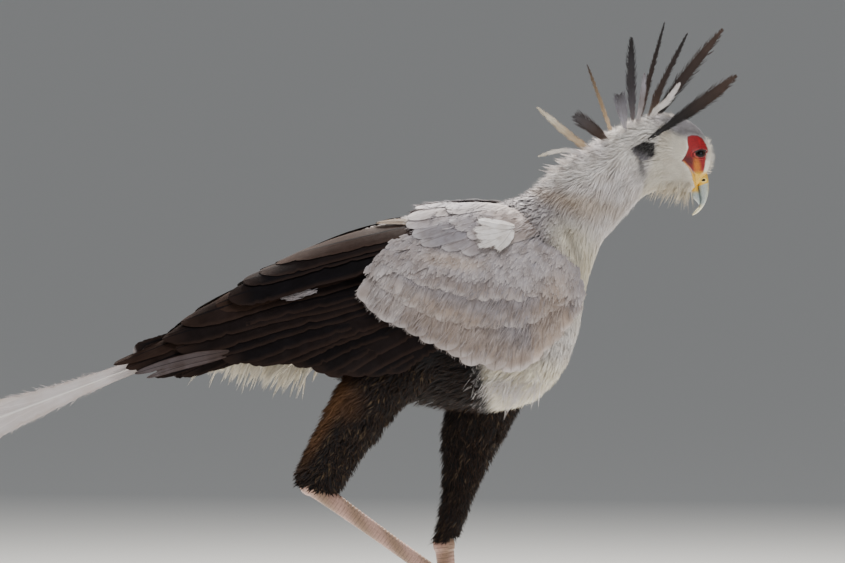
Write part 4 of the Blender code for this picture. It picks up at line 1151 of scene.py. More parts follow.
def vanes(name, side, roots, tips, half, lift, slope, bow, kind, tone, rows=26, columns=9,
          splits=2.0, split_depth=0.25, blunt=0.16, neck=0.45, jitter=0.002, fringe=0.0):
    """Draped feathers from roots to tips (N x 2 places in the side view)."""
    count = len(roots)
    s = np.linspace(0, 1, rows)
    f = 0.5 * s + 0.5 * np.sin(s * math.pi / 2)
    roots = roots + rng.normal(0, jitter, roots.shape)
    tips = tips + rng.normal(0, jitter, tips.shape)
    half = half * (1 + rng.normal(0, 0.06, count))
    lift = lift + rng.normal(0, jitter * 0.1, count)
    along = tips - roots
    below = unit(np.stack([-along[:, 1], along[:, 0]], -1))
    at = roots[:, None] + along[:, None] * f[:, None] + below[:, None] * (bow * np.sin(math.pi * f))[:, None]
    lift = lift[:, None] - ROOT_SINK * (1 - f) ** 3
    middle, normal = on_wing(at[..., 0], at[..., 1], 0.0)
    down = unit(np.cross(unit(np.gradient(middle, axis=1)), normal))
    width = neck + (1 - neck) * np.minimum(f / 0.3, 1) ** 0.7
    width *= round_tip(f, blunt)
    halves = half[:, None, None] * width[:, None] * split_edges(count, rows, splits, split_depth)
    share = np.linspace(-1, 1, columns)
    wide = np.where(share < 0, halves[..., :1], halves[..., 1:])
    across = middle[:, :, None] + down[:, :, None] * (wide * share)[..., None]
    raised = lift[:, :, None] + slope * wide * share
    body = VANE_THICKNESS * (1 - 0.6 * np.abs(share)) / 2
    ridge = SHAFT_HEIGHT * np.exp(-((share / 0.12) ** 2))
    top, _ = wing_project(across, raised + body + ridge)
    bottom, _ = wing_project(across[:, :, 1:-1], (raised - body)[:, :, 1:-1])
    points, vane = closed_vane(top, bottom, share, f)
    px, py = pixels(middle)
    order = np.broadcast_to(np.linspace(0, 1, count)[:, None], px.shape)
    tint = np.broadcast_to(tone(px, py, np.broadcast_to(f, px.shape), order), px.shape + (3,))
    tint = natural(tint * (1 + rng.normal(0, 0.05, (count, 1, 1))))
    place = wing_patch(side, roots[:, 0], roots[:, 1])
    if fringe:
        add_fringe(name, side, top, down, normal, tint, f, fringe, place, kind)
    if side < 0:
        points = points[:, :, ::-1] * MIRROR
        vane = vane[:, ::-1]
    return mesh_of_rings(name, points, vane, tint, rng.random(count), place, kind)


def places(pixel_points):
    return np.array([seen(px, py) for px, py in pixel_points])


def line(pixel_points, count):
    return smooth(places(pixel_points), np.linspace(0, len(pixel_points) - 1, count))


print("a flight feather has", int((ring_faces(1, 44, 20)[1] - 2).sum()), "triangles")

# %% [markdown]
# The tones come from marks on the wing: blue grey in the middle, sandy fringes and lower ends,
# black flight feathers with a painted brown sheen on the uppermost ones and a little brown at random.

# %% Marks of the wing
def covert_marks(px, py, f, order):
    tone = blend("ash", "dove", 0.55 * spot(px, py, (505, 265), (54, 28), 10, 0.6))
    brown = 0.75 * spot(px, py, (452, 258), (30, 6), 8, 0.6)
    brown = brown + 0.65 * spot(px, py, (548, 318), (16, 48), 12, 0.5)
    brown = brown + 0.55 * spot(px, py, (445, 318), (70, 16), 26, 0.7) + 0.45 * ramp(f, 0.45, 0.95)
    tone = blend(tone, "sand", np.clip(brown, 0, 0.85))
    tone = blend(tone, "pale", 0.3 * ramp(f, 0.82, 1.0) + 0.3 * spot(px, py, (385, 293), (24, 30), 0, 0.4))
    return tone


def flight_marks(px, py, f, order):
    # The uppermost feathers of a tier get a painted brown sheen towards their tips, and every feather a
    # little brown at random.
    sheen_and_brown = 0.6 * ramp(order, 0.35, 0.0) * ramp(f, 0.2, 0.6) + 0.14 * np.sin(37 * order) ** 2
    return blend("black", "umber", np.clip(sheen_and_brown, 0, 1))


def scapular_marks(px, py, f, order):
    tone = blend("ash", "dove", 0.45 - 0.2 * ramp(py, 225, 208))
    tone = blend(tone, "pale", 0.35 * ramp(f, 0.75, 1.0))
    return blend(tone, "sand", 0.35 * ramp(px, 470, 500) + 0.2 * np.sin(17 * order) ** 2)


def tertial_marks(px, py, f, order):
    # The upper tertials get a painted brown sheen, and an ochre patch near their front end.
    tone = blend("black", "umber", 0.55 * ramp(order, 0.5, 0.0))
    return blend(tone, "ochre", 0.8 * spot(px, py, (391, 222), (13, 5), -16, 0.4) * ramp(order, 0.5, 0.0))


def fan_marks(px, py, f, order):
    return blend("pale", "white", 0.6)


def odd_marks(px, py, f, order):
    """One brown feather among the pale ones, and two greyish ones among the black ones."""
    tone = blend("umber", "tan", 0.12 + 0.15 * f)
    return blend(tone, blend("umber", "dove", 0.12 + 0.22 * f), order > 0.4)


def patch_marks(px, py, f, order):
    return blend("slate", "ash", 0.75)


print("first tone of the coverts", covert_marks(505.0, 265.0, 0.0, 0).round(2))

# %% [markdown]
# Each wing gets its flight feathers first, then the tiers above them: greater, median and
# middle coverts, the black tertials and the pale scapulars. A tier is a row of values: how many
# feathers, where their roots and tips lie in the photograph, and their half width, height,
# slope and bow in metres, their plumage, marks, rows and columns, splits and shape of the tip.

# %% Values of the tiers
TIERS = [
    ("primaries", 6, [(322, 292), (329, 306), (334, 316)],
     [(110, 360), (124, 367), (146, 374), (172, 379), (204, 369)],
     (0.016, -0.0085, 0.1, -0.006, "flight", flight_marks, 44, 11, 5.0, 0.15, 0.3), {"jitter": 0.003}),
    ("secondaries", 17, [(372, 250), (390, 272), (404, 292), (430, 305), (465, 318)],
     [(232, 290), (180, 318), (164, 338), (222, 353), (290, 361), (330, 370), (380, 370)],
     (0.024, -0.004, 0.11, -0.007, "flight", flight_marks, 44, 11, 6.0, 0.15, 0.26), {"jitter": 0.004}),
    ("greater_coverts", 19, [(392, 264), (428, 282), (470, 294), (520, 298), (552, 290), (574, 276)],
     [(366, 302), (386, 320), (424, 334), (456, 352), (482, 364), (510, 368), (536, 356), (560, 332),
      (575, 303)],
     (0.0185, 0.001, 0.03, -0.004, "covert", covert_marks, 32, 9, 4.0, 0.12, 0.18), {"fringe": 0.005}),
    ("median_coverts", 17, [(405, 250), (440, 258), (490, 262), (535, 262), (562, 268)],
     [(384, 286), (420, 308), (466, 322), (516, 322), (556, 304)],
     (0.0165, 0.0022, 0.02, -0.003, "covert", covert_marks, 30, 9, 3.0, 0.12, 0.24), {"fringe": 0.004}),
    ("middle_coverts", 17, [(408, 242), (450, 243), (500, 244), (545, 246), (570, 262)],
     [(395, 268), (432, 286), (480, 296), (528, 294), (566, 284)],
     (0.015, 0.0032, 0.018, -0.002, "covert", covert_marks, 26, 9, 3.0, 0.12, 0.28), {"fringe": 0.004}),
    ("tertials", 4, [(470, 212), (452, 222), (436, 236)], [(276, 262), (252, 278), (232, 296)],
     (0.0225, 0.003, 0.1, -0.004, "flight", tertial_marks, 44, 11, 5.0, 0.12, 0.22), {}),
    ("scapulars", 8, [(468, 205), (482, 212), (496, 220), (510, 232)],
     [(428, 205), (410, 216), (410, 229), (424, 244), (462, 250)],
     (0.015, 0.0052, 0.035, -0.004, "covert", scapular_marks, 30, 9, 4.0, 0.15, 0.28), {"fringe": 0.006}),
    ("shoulder_feathers", 7, [(505, 205), (524, 214), (538, 226)], [(444, 212), (456, 228), (482, 244)],
     (0.0135, 0.006, 0.03, -0.003, "covert", scapular_marks, 26, 9, 3.0, 0.15, 0.3), {"fringe": 0.005}),
]


def add_tiers(side, label):
    """All tiers of one wing, from the flight feathers up to the shoulder."""
    return [
        vanes(f"{name}_{label}", side, line(roots, count), line(tips, count), *values, **more)
        for name, count, roots, tips, values, more in TIERS
    ]


print(sum(tier[1] for tier in TIERS), "feathers in the tiers of a wing")

# %% [markdown]
# Between the large feathers lie hundreds of small ones: the lesser coverts of the shoulder,
# fine wisps that break up the rows, and a grey patch behind. Their roots are random pixels
# between two edges, and they point along the lie of the wing.

# %% Small feathers of the wing


def lie_angle(px, py):
    """The way wing feathers point, from straight back on top to straight down in front."""
    return np.radians(198 + 42 * ramp(py, 212, 275) * ramp(px, 350, 370) + 14 * ramp(px, 470, 580))


def on_coverts(count, low_edge, top_edge):
    """Random pixels of the grey part of the wing, between two edges."""
    px = rng.uniform(372, 586, count * 5)
    py = rng.uniform(202, 370, count * 5)
    low = np.interp(px, [372, 410, 450, 500, 540, 586], low_edge)
    front_px, front_py = [530, 564, 577, 582, 577, 560, 540], [205, 233, 260, 283, 303, 330, 350]
    front = np.interp(py, front_py, front_px)
    top = np.interp(px, [372, 402, 450, 500, 540, 580], top_edge)
    fits = np.flatnonzero((py < low) & (px < front) & (py > top))[:count]
    return px[fits], py[fits]


def small_coverts(name, side, place, length, half, lift, shape, spread, marks=covert_marks):
    """Small feathers with their roots at the given pixels of the wing, along its lie."""
    px, py = place
    angle = lie_angle(px, py) + rng.normal(0, spread, len(px)) + 0.12 * np.sin(px * 0.21 + py * 0.13)
    x, z = seen(px, py)
    f = np.linspace(0, 1, 4)
    long = length * rng.uniform(0.7, 1.2, len(px))
    x = x[:, None] + (np.cos(angle) * long)[:, None] * f
    z = z[:, None] + (np.sin(angle) * long)[:, None] * f
    rise = lift * rng.uniform(0.75, 1.1, (len(px), 1)) - 0.004 * (1 - f) ** 2
    centre, normal = on_wing(x, z, rise, side)
    mx, my = pixels(centre)
    tint = marks(mx, my, 0.4 + 0.4 * f, 0)
    tint = blend(tint, "pale", 0.25 * f ** 2) * (1 + rng.normal(0, 0.1, (len(px), 1, 1)))
    return strands(name, centre, normal, widths(half * rng.uniform(0.7, 1.2, len(px)), shape, 4),
                   natural(tint), wing_patch(side, x[:, 0], z[:, 0]), "body", 0.0003, 0.12,
                   THIN_SECTION if shape is LEAF else HAIR_SECTION)


def patch_places(count):
    px = rng.uniform(290, 318, count)
    return px, 296 - 0.28 * (px - 286) + rng.normal(0, 1.4, count)


print("feathers over the shoulder point to", round(float(lie_angle(580, 230))), "radians")

# %% [markdown]
# Both wings are now put together. Three feathers of each lie out of order, as real ones do,
# and the near wing gets the loose pale feather that stands out in the photograph.

# %% Both wings
TOP_EDGE = [262, 234, 228, 230, 234, 250]
ODD_ROOTS = places([(428, 222), (232, 349), (226, 355)])
ODD_TIPS = places([(377, 226), (136, 372), (150, 377)])
ODD_HALVES = np.array([0.007, 0.0065, 0.0055])

for side, label in ((1, "left"), (-1, "right")):
    lesser = on_coverts(1300, [262, 258, 262, 268, 276, 292], TOP_EDGE)
    wisps = on_coverts(1600, [300, 318, 335, 352, 340, 292], TOP_EDGE)
    upper_wisps = on_coverts(600, [180, 202, 228, 230, 234, 250], [262, 208, 203, 204, 212, 240])
    patch = patch_places(150)
    wing_pieces = add_tiers(side, label) + [
        small_coverts("lesser_coverts_" + label, side, lesser, 0.025, 0.0048, 0.005, LEAF, 0.1),
        small_coverts("covert_wisps_" + label, side, wisps, 0.017, 0.0007, 0.0052, LANCE, 0.14),
        small_coverts("scapular_wisps_" + label, side, upper_wisps, 0.016, 0.0007, 0.0085, LANCE, 0.14,
                      scapular_marks),
        small_coverts("grey_patch_" + label, side, patch, 0.013, 0.0009, 0.003, LANCE, 0.12, patch_marks),
        vanes("odd_feathers_" + label, side, ODD_ROOTS, ODD_TIPS, ODD_HALVES, 0.0035, 0.03, -0.003,
              "flight", odd_marks, 30, 9, 4.0, 0.2, 0.6, 0.25),
    ]
    for piece in wing_pieces:
        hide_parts("wing_" + label)

fan_roots = places([(513 - k, 226 + k) for k in range(5)])
fan_tips = places([(478, 225), (475, 232), (476, 239), (482, 246), (492, 249)])
vanes("loose_feather", -1, fan_roots, fan_tips, 0.007, 0.0115, 0.05, 0.002, "covert", fan_marks,
      26, 9, 5.0, 0.35, 0.35, 0.35, fringe=0.004)
print(2 * len(wing_pieces) + 1, "pieces for both wings")


# %% [markdown]
# The tail's long middle pair leaves the picture on the left, so its end comes from the
# species: a black band before a white tip. It hangs a little lower than in the solids, as
# measured in the photograph. Shorter black feathers lie over its root.

# %% Tail
SHAFT_RIDGE = 0.0014
FLAT_THICKNESS = 0.0007


def flat_vanes(name, roots, tips, half, rolls, tones, kind, rows=60, columns=11, splits=5.0,
               split_depth=0.3, blunt=0.08, bow=0.0, fringe=0.0, profile=(0.4, 0.6, 0.7, 0.8, 1.0)):
    """Long straight feathers. rolls are degrees that each turns back about its shaft."""
    count = len(roots)
    s = np.linspace(0, 1, rows)
    f = 0.6 * s + 0.4 * np.sin(s * math.pi / 2)
    centre = roots[:, None] + (tips - roots)[:, None] * f[:, None]
    centre[..., 2] += bow * np.sin(math.pi * f)
    roll = np.radians(rolls[0] + (rolls[1] - rolls[0]) * f ** 2)
    side = np.sign(roots[:, 1])[:, None]
    normal = np.stack(np.broadcast_arrays(0.0, side * np.cos(roll), np.sin(roll)), -1)
    width = np.interp(f, [0, 0.4, 0.5, 0.56, 0.72], profile) * round_tip(f, blunt)
    halves = half * width[:, None] * split_edges(count, rows, splits, split_depth)
    share = np.linspace(-1, 1, columns)
    wide = np.where(share < 0, halves[..., :1], halves[..., 1:])
    along = unit(np.gradient(centre, axis=1))
    across = unit(np.cross(along, normal))
    normal = np.cross(across, along)
    body = FLAT_THICKNESS * (1 - 0.7 * np.abs(share)) / 2
    shaft = SHAFT_RIDGE * np.exp(-((share / 0.07) ** 2)) * (1 - 0.6 * f)[:, None]
    flat = centre[:, :, None] + across[:, :, None] * (wide * share)[..., None]
    top = flat + normal[:, :, None] * (body + shaft)[None, :, :, None]
    bottom = (flat - normal[:, :, None] * body[None, None, :, None])[:, :, 1:-1]
    points, vane = closed_vane(top, bottom, share, f)
    tint = tones(np.broadcast_to(f, centre.shape[:2]))
    place = form_patch("body", np.full(count, 0.5), 0.3 * side[:, 0])
    if fringe:
        add_fringe(name, 1, top, across, normal, tint, f, fringe, place, kind, times=2)
    return mesh_of_rings(name, points, vane, tint, rng.random(count), place, kind)


def long_tones(f):
    tone = blend("pale", "sand", 0.16 + 0.12 * np.sin(23 * f) ** 2)
    tone = blend(tone, "slate", 0.75 * ramp(f, 0.35, 0.1))
    return blend(tone, "black", ramp(f, 0.855, 0.87) * ramp(f, 0.955, 0.94))


def short_tones(f):
    return blend("black", "pale", 0.9 * ramp(f, 0.96, 0.99))


pair = np.array([1.0, -1.0])
middle_roots = np.stack([np.full(2, -0.28), 0.003 * pair, np.full(2, 0.69)], -1)
middle_tips = np.stack([np.full(2, -0.847), 0.004 * pair, np.full(2, 0.474)], -1)
long_pair = flat_vanes("tail_middle_pair", middle_roots, middle_tips, 0.027, (5.0, 24.0), long_tones,
                       "tail", 90, 15, 16.0, 0.16, 0.08, -0.003, 0.01, (0.35, 0.38, 0.47, 0.6, 1.0))
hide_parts("tail")

k = np.repeat(np.arange(5), 2)
sides = np.tile(pair, 5)
short_roots = np.stack([-0.283 + 0.0015 * k, sides * (0.0064 + 0.0021 * k), 0.686 - 0.0056 * k], -1)
short_tips = np.stack([-0.486 + 0.013 * k, sides * (0.007 + 0.0021 * k), 0.622 - 0.0036 * k], -1)
short_pairs = flat_vanes("tail_short_pairs", short_roots, short_tips, 0.02, (7.0, 7.0), short_tones,
                         "flight", 50)
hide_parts("tail")

# %% [markdown]
# Loose tufts hang under the tail's root and over the thigh at the lower breast. They are thin
# strands that start close together and spread.

# %% Loose tufts
def tufts(name, roots, ways, length, half, tone, kind, rows=4, bend=0.3, stray=0.22,
          normal=(0, 1, 0), lock=1):
    """Strands from roots (N x 3) along ways, bent by gravity. Those of one lock meet at its tip."""
    count = len(roots)
    group = np.arange(count) // lock
    groups = group[-1] + 1
    long = length * rng.uniform(0.5, 1.15, (groups, 1, 1))[group]
    long = long * rng.uniform(0.85, 1.05, (count, 1, 1))
    wanted = np.broadcast_to(np.asarray(ways, float), roots.shape)[group * lock]
    way = unit(wanted + rng.normal(0, stray, (groups, 3))[group])
    middle = roots[group * lock]
    f = np.linspace(0, 1, rows)[None, :, None]
    centre = middle[:, None] + (roots - middle)[:, None] * (1 - 0.85 * f) + way[:, None] * f * long
    centre[..., 2] -= (bend * f ** 2 * long)[..., 0]
    faces = unit(np.asarray(normal, float) + rng.normal(0, 0.35, (count, 1, 3)))
    halves = widths(half * rng.uniform(0.6, 1.3, count), LANCE, rows)
    tint = np.repeat(tone[:, None, :], rows, axis=1) * (1 + rng.normal(0, 0.06, (count, 1, 1)))
    t = np.clip(np.interp(roots[:, 0], [-0.345, 0.05, 0.16, 0.34], [0, 9, 14, 24]), 0, 26)
    turn = np.arctan2(roots[:, 1], 0.02)
    return strands(name, centre, np.broadcast_to(faces, centre.shape), halves, natural(tint),
                   form_patch("body", t, turn), kind, section=HAIR_SECTION)


def cluster(spots, count, spread):
    """Roots near the given spots in turn."""
    spots = np.asarray(spots, float)
    return spots[np.arange(count) % len(spots)] + rng.normal(0, 1, (count, 3)) * np.asarray(spread)


def in_strips(roots, step, axis):
    """The roots, sorted in strips along x and then along another axis, so that locks are close."""
    return roots[np.argsort(np.round(roots[:, 0] / step) * 10 + roots[:, axis])]


UNDERTAIL, BREAST_TUFTS = 1800, 1300
UNDER_LINE = [(-0.33, 0.64), (-0.305, 0.64), (-0.28, 0.634), (-0.255, 0.628), (-0.232, 0.622)]
under_spots = [(x, y, z) for x, z in UNDER_LINE for y in (-0.022, -0.008, 0.008, 0.022)]
under = in_strips(cluster(under_spots, UNDERTAIL, (0.012, 0.006, 0.005)), 0.006, 1)
tufts("coat_undertail", under, (-0.62, 0.0, -0.78), 0.048, 0.0008,
      blend("cream", "white", rng.random(UNDERTAIL) * 0.5), "soft", stray=0.16, lock=10)

breast_spots = [
    (0.044, -0.056, 0.606), (0.058, -0.06, 0.6), (0.076, -0.058, 0.596), (0.094, -0.048, 0.594),
]
low_breast = in_strips(cluster(breast_spots, BREAST_TUFTS, (0.01, 0.008, 0.012)), 0.005, 2)
tufts("coat_breast_tufts", low_breast, (-0.7, -0.1, -0.7), 0.03, 0.00034,
      blend("pale", "white", rng.random(BREAST_TUFTS)), "soft", stray=0.34, lock=4)

# %% [markdown]
# The crest is a dozen long quill feathers, and one more hangs from the nape. Each is a row of
# values: points of its shaft in the side view, how far root and tip lie to the left, its half
# width, how the width changes, and its tones from root to tip. It gets a thin vane first.

# %% Crest plumes
PADDLE = np.array([0.14, 0.18, 0.42, 0.8, 1.0, 0.86, 0.12])
STRAP = np.array([0.3, 0.55, 0.75, 0.85, 0.8, 0.6, 0.1])
PLUMES = [
    ([(0.262, 0.937), (0.29, 0.957), (0.345, 0.997), (0.404, 1.041)],
     -0.029, -0.05, 0.0088, PADDLE, "black black umber"),
    ([(0.264, 0.932), (0.288, 0.95), (0.339, 0.984), (0.394, 1.021)],
     0.029, 0.046, 0.007, PADDLE, "slate black umber"),
    ([(0.27, 0.95), (0.285, 0.975), (0.322, 1.028), (0.386, 1.109)],
     0.004, 0.01, 0.0092, PADDLE, "slate black umber"),
    ([(0.272, 0.955), (0.284, 0.985), (0.303, 1.003), (0.322, 1.03)],
     -0.008, -0.016, 0.005, STRAP, "white white pale"),
    ([(0.266, 0.952), (0.28, 0.984), (0.294, 1.024), (0.333, 1.103)],
     -0.003, -0.008, 0.0062, STRAP, "sand umber black"),
    ([(0.257, 0.952), (0.264, 0.984), (0.274, 1.022), (0.3, 1.119)],
     0.009, 0.02, 0.0052, STRAP, "umber umber black"),
    ([(0.254, 0.948), (0.262, 0.985), (0.267, 1.015), (0.269, 1.044)],
     -0.012, -0.02, 0.0042, STRAP, "pale ash dove"),
    ([(0.25, 0.945), (0.252, 0.98), (0.25, 1.026), (0.25, 1.097)],
     -0.002, -0.004, 0.007, PADDLE, "ash slate black"),
    ([(0.243, 0.94), (0.24, 0.966), (0.236, 0.99), (0.232, 1.012)],
     -0.014, -0.028, 0.0085, PADDLE, "pale dove slate"),
    ([(0.23, 0.93), (0.221, 0.955), (0.204, 1.004), (0.185, 1.056)],
     0.006, 0.012, 0.0032, STRAP, "tan tan umber"),
    ([(0.226, 0.925), (0.214, 0.943), (0.192, 0.963), (0.166, 0.982)],
     -0.012, -0.03, 0.0092, PADDLE, "sand umber slate"),
    ([(0.212, 0.914), (0.194, 0.925), (0.155, 0.955), (0.111, 0.993)],
     0.0, 0.004, 0.0062, STRAP, "umber tan cream"),
    ([(0.208, 0.905), (0.19, 0.918), (0.152, 0.93), (0.112, 0.921)],
     -0.01, -0.022, 0.004, STRAP, "white pale cream"),
]
PLUME_STEPS = 30
VANE_SHARE = 0.74

f = np.linspace(0, 1, PLUME_STEPS)
lines, halves, tints = [], [], []
for points, root_y, tip_y, half, shape, words in PLUMES:
    xz = smooth(points, f * (len(points) - 1))
    y = root_y + (tip_y - root_y) * f
    lines.append(np.stack([xz[:, 0], y, xz[:, 1]], -1))
    halves.append(half * np.interp(f, np.linspace(0, 1, len(shape)), shape))
    tones = np.array([TONES[word] for word in words.split()])
    tints.append(np.stack([np.interp(f, [0, 0.5, 0.95], tones[:, i]) for i in range(3)], -1))
lines, halves, tints = np.array(lines), np.array(halves), np.array(tints)
count = len(PLUMES)
faces = unit(np.array([0.0, 1.0, 0.0]) + rng.normal(0, 0.12, (count, 1, 3)))
faces = np.broadcast_to(faces, lines.shape)
crest_place = form_patch("body", np.full(count, 18.5), np.linspace(-0.6, 0.6, count))
crest = strands("crest_vanes", lines, faces, halves * VANE_SHARE, tints, crest_place, "plume",
                0.0004, 0.1, WIDE_SECTION)
shaft_halves = np.broadcast_to(np.linspace(0.001, 0.0003, PLUME_STEPS), halves.shape)
strands("crest_shafts", lines - 0.0002 * faces, faces, shaft_halves, tints * 0.6 + 0.05, crest_place,
        "plume", 0.0009, 0.0)
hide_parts("crest")

# %% [markdown]
# Then come the free barbs, hundreds along both edges, longest where the feather is widest.
# They bend to the tip, and they give each plume its soft outline.

# %% Barbs of the crest
BARBS_A_SIDE = 150
BARB_SPREAD = 0.62


def sample(rows, index, share):
    at = np.clip(share, 0, 1) * (rows.shape[1] - 1)
    low = np.minimum(at.astype(int), rows.shape[1] - 2)
    part = (at - low)[:, None] if rows.ndim == 3 else at - low
    return rows[index, low] * (1 - part) + rows[index, low + 1] * part


pick = np.repeat(np.arange(count), 2 * BARBS_A_SIDE)
side = np.tile(np.repeat([-1.0, 1.0], BARBS_A_SIDE), count)
where = np.tile(np.linspace(0.04, 0.985, BARBS_A_SIDE), 2 * count) + rng.normal(0, 0.004, len(pick))
start = sample(lines, pick, where)
ahead = unit(sample(lines, pick, where + 0.02) - sample(lines, pick, where - 0.02))
lateral = unit(np.cross(ahead, faces[pick, 0])) * side[:, None]
reach = sample(halves, pick, where) * rng.uniform(0.75, 1.4, len(pick)) / BARB_SPREAD
g = np.linspace(0, 1, 3)[None, :, None]
curve = lateral[:, None] * BARB_SPREAD * np.sin(g * 1.5) + ahead[:, None] * (0.55 * g + 0.45 * g ** 2)
barb = start[:, None] + reach[:, None, None] * curve
barb += rng.normal(0, 0.00035, (len(pick), 1, 3)) * g
barb_tint = sample(tints, pick, where)[:, None] * (1 + rng.normal(0, 0.15, (len(pick), 1, 1)))
strands("crest_barbs", barb, np.broadcast_to(faces[pick, :1], barb.shape),
        widths(np.full(len(pick), 0.00055), LANCE, 3), natural(np.repeat(barb_tint, 3, axis=1)),
        crest_place[pick], "plume", 0.0003, 0.0, HAIR_SECTION)

# %% [markdown]
# Wisps finish the head. The beard hangs under cheek and chin in locks of eight, and fine white
# bristles stand over the forehead.

# %% Beard and bristles


BEARD, BEARD_LOCK = 2200, 8
BEARD_LINE = [(0.258, 0.903), (0.286, 0.886), (0.31, 0.879), (0.328, 0.877), (0.337, 0.874)]
BRISTLES = 260

beard_at = smooth(BEARD_LINE, np.sort(rng.uniform(0, 4, BEARD)))
beard_y = np.repeat(rng.uniform(-0.023, 0.023, BEARD // BEARD_LOCK), BEARD_LOCK)
beard_y = beard_y + rng.normal(0, 0.0012, BEARD)
beard_roots = np.stack([beard_at[:, 0], beard_y, beard_at[:, 1] + 0.35 * np.abs(beard_y)], -1)
backwards = np.interp(beard_at[:, 0], [0.26, 0.335], [-0.95, -0.15])
beard_ways = np.stack([backwards, 6 * beard_y, np.full(BEARD, -0.85)], -1)
tufts("coat_beard", beard_roots, beard_ways, 0.03, 0.00034,
      blend("cream", "sand", 0.5 * rng.random(BEARD)), "soft", stray=0.18, bend=0.15, lock=BEARD_LOCK)

bristle_t = rng.uniform(22.8, 25.6, BRISTLES)
bristle_turn = rng.normal(0, 0.42, BRISTLES)
bristle_roots, bristle_up, bristle_along, _ = form_frame("body", bristle_t, bristle_turn, 0.001)
bristle_ways = bristle_up * 0.75 + unit(bristle_along) * 0.25 + np.array([0.15, 0.0, 0.25])
tufts("coat_bristles", bristle_roots, bristle_ways, 0.008, 0.00017,
      blend("white", "cream", rng.random(BRISTLES)), "soft", stray=0.2, bend=-0.15)

# %% [markdown]
# Ragged pale spikes stand along the nape, and more of them hide where the crest's quills go
# in. Both follow a path over the top of the neck, so one function places them.

# %% Nape spikes and tufts of the crest's base
NAPE_LINE = places([(562, 172), (576, 165), (590, 156), (606, 148)])
CREST_LINE = [(0.222, 0.928), (0.24, 0.94), (0.256, 0.947), (0.272, 0.95)]


def ridge_roots(path, locks, each, breadth, curve):
    """Roots in locks over the top of the neck, whose back falls off to both sides."""
    at = smooth(path, np.repeat(rng.uniform(0, 3, locks), each))
    y = np.repeat(rng.uniform(-breadth, breadth, locks), each)
    roots = np.stack([at[:, 0], y, at[:, 1] - 0.004 - curve * y ** 2], -1)
    return at[:, 0], y, roots + rng.normal(0, 0.0015, roots.shape)


_, spike_y, spike_roots = ridge_roots(NAPE_LINE, 110, 8, 0.02, 14)
spike_ways = np.stack([np.full(len(spike_y), -0.95), 6 * spike_y, np.full(len(spike_y), 0.22)], -1)
tufts("coat_nape_spikes", spike_roots, spike_ways, 0.036, 0.0006,
      blend("pale", "white", rng.random(len(spike_y))), "soft", stray=0.16, bend=0.02, lock=8)

base_x, base_y, base_roots = ridge_roots(CREST_LINE, 90, 7, 0.017, 12)
base_lean = np.interp(base_x, [0.22, 0.27], [-0.45, 0.55])
base_ways = np.stack([base_lean, 5 * base_y, np.full(len(base_y), 0.85)], -1)
tufts("coat_crest_base", base_roots, base_ways, 0.036, 0.0008,
      blend("pale", "white", rng.random(len(base_y))), "soft", stray=0.16, bend=0.0, lock=7)

# %% [markdown]
# Short dark feathers lie over the ear, inside the same dark wedge that the marks paint. They
# sit on the head's side, so its breadth is looked up on the slices.

# %% Ear feathers
EAR_FEATHERS = 420


def on_head(x, z):
    """Half breadth of the head and neck at places in the side view."""
    t, turn = np.meshgrid(np.linspace(15, 24, 160), np.linspace(0.3, 2.8, 60), indexing="ij")
    point, _, _, _ = form_frame("body", t, turn)
    point = point.reshape(-1, 3)
    nearest = ((point[None, :, 0] - x[:, None]) ** 2 + (point[None, :, 2] - z[:, None]) ** 2).argmin(1)
    return np.abs(point[nearest, 1])


ear = np.stack([rng.uniform(632, 654, 2400), rng.uniform(140, 160, 2400)])
ear = ear[:, reach_of(ear[0], ear[1], WEDGE, True) < -0.4][:, :EAR_FEATHERS]
ear_x, ear_z = seen(ear[0], ear[1])
ear_y = on_head(ear_x, ear_z) + 0.0022
paler = ramp(ear[1] + 0.5 * (644 - ear[0]) + rng.normal(0, 1.5, ear.shape[1]), 148, 158)
ear_tone = blend("black", "dove", 0.65 * paler)
for label, sign in (("right", -1.0), ("left", 1.0)):
    tufts("coat_ear_" + label, np.stack([ear_x, sign * ear_y, ear_z], -1), (-0.8, sign * 0.1, -0.45),
          0.0065, 0.0005, ear_tone, "plume", stray=0.12, bend=0.0, normal=(0.0, sign, 0.0))

# %% [markdown]
# The bare face gets the most care. A fine grid follows the head between cheek and bill. The
# eye's own axes, and the distance from the edge of the lids, tell where each point lies.

# %% Grid of the bare face
EYE = np.array([0.349, 0.0135, 0.925])
EYE_RADIUS = 0.0105
EYE_AXIS = unit(np.array([0.3, 0.95, 0.03]))
EYE_TILT = 0.06
LID_REACH, UPPER_LID, LOWER_LID = 0.0082, 0.004, 0.005
FACE_ROWS, FACE_AROUND = 172, 270
FACE_FIRST, FACE_LAST = 20.4, 25.82

t = np.linspace(FACE_FIRST, FACE_LAST, FACE_ROWS)[:, None]
turn = (np.arange(FACE_AROUND) + 0.5)[None, :] * 2 * math.pi / FACE_AROUND
depth = 0.0008 + 0.002 * ramp(t, 21.6, 20.4)
point, normal, _, _ = form_frame("body", t, turn, depth)
px, py = pixels(point)
side = np.sign(point[..., 1])[..., None]
flip = np.concatenate([np.ones_like(side), side, np.ones_like(side)], -1)
off = point - EYE * flip
axis = EYE_AXIS * flip
level = unit(np.cross(np.array([0.0, 0.0, 1.0]), axis) * -side)
upright = np.cross(level, axis) * -side
upright *= np.sign(upright[..., 2:])
a = (off * level).sum(-1)
b = (off * upright).sum(-1)
out = (off * axis).sum(-1)
a, b = a * math.cos(EYE_TILT) + b * math.sin(EYE_TILT), b * math.cos(EYE_TILT) - a * math.sin(EYE_TILT)
high = np.where(b > 0, UPPER_LID, LOWER_LID)
open_reach = np.sqrt((a / LID_REACH) ** 2 + (b / high) ** 2)
from_edge = (open_reach - 1) * 0.0062
around_eye = np.arctan2(b, a)
red_reach = reach_of(px, py, RED_SKIN, True)
red = ramp(-red_reach, -0.5, 0.9)
gape_reach = reach_of(px, py, GAPE, False)
print("grid of the face has", point.shape[0] * point.shape[1], "points")

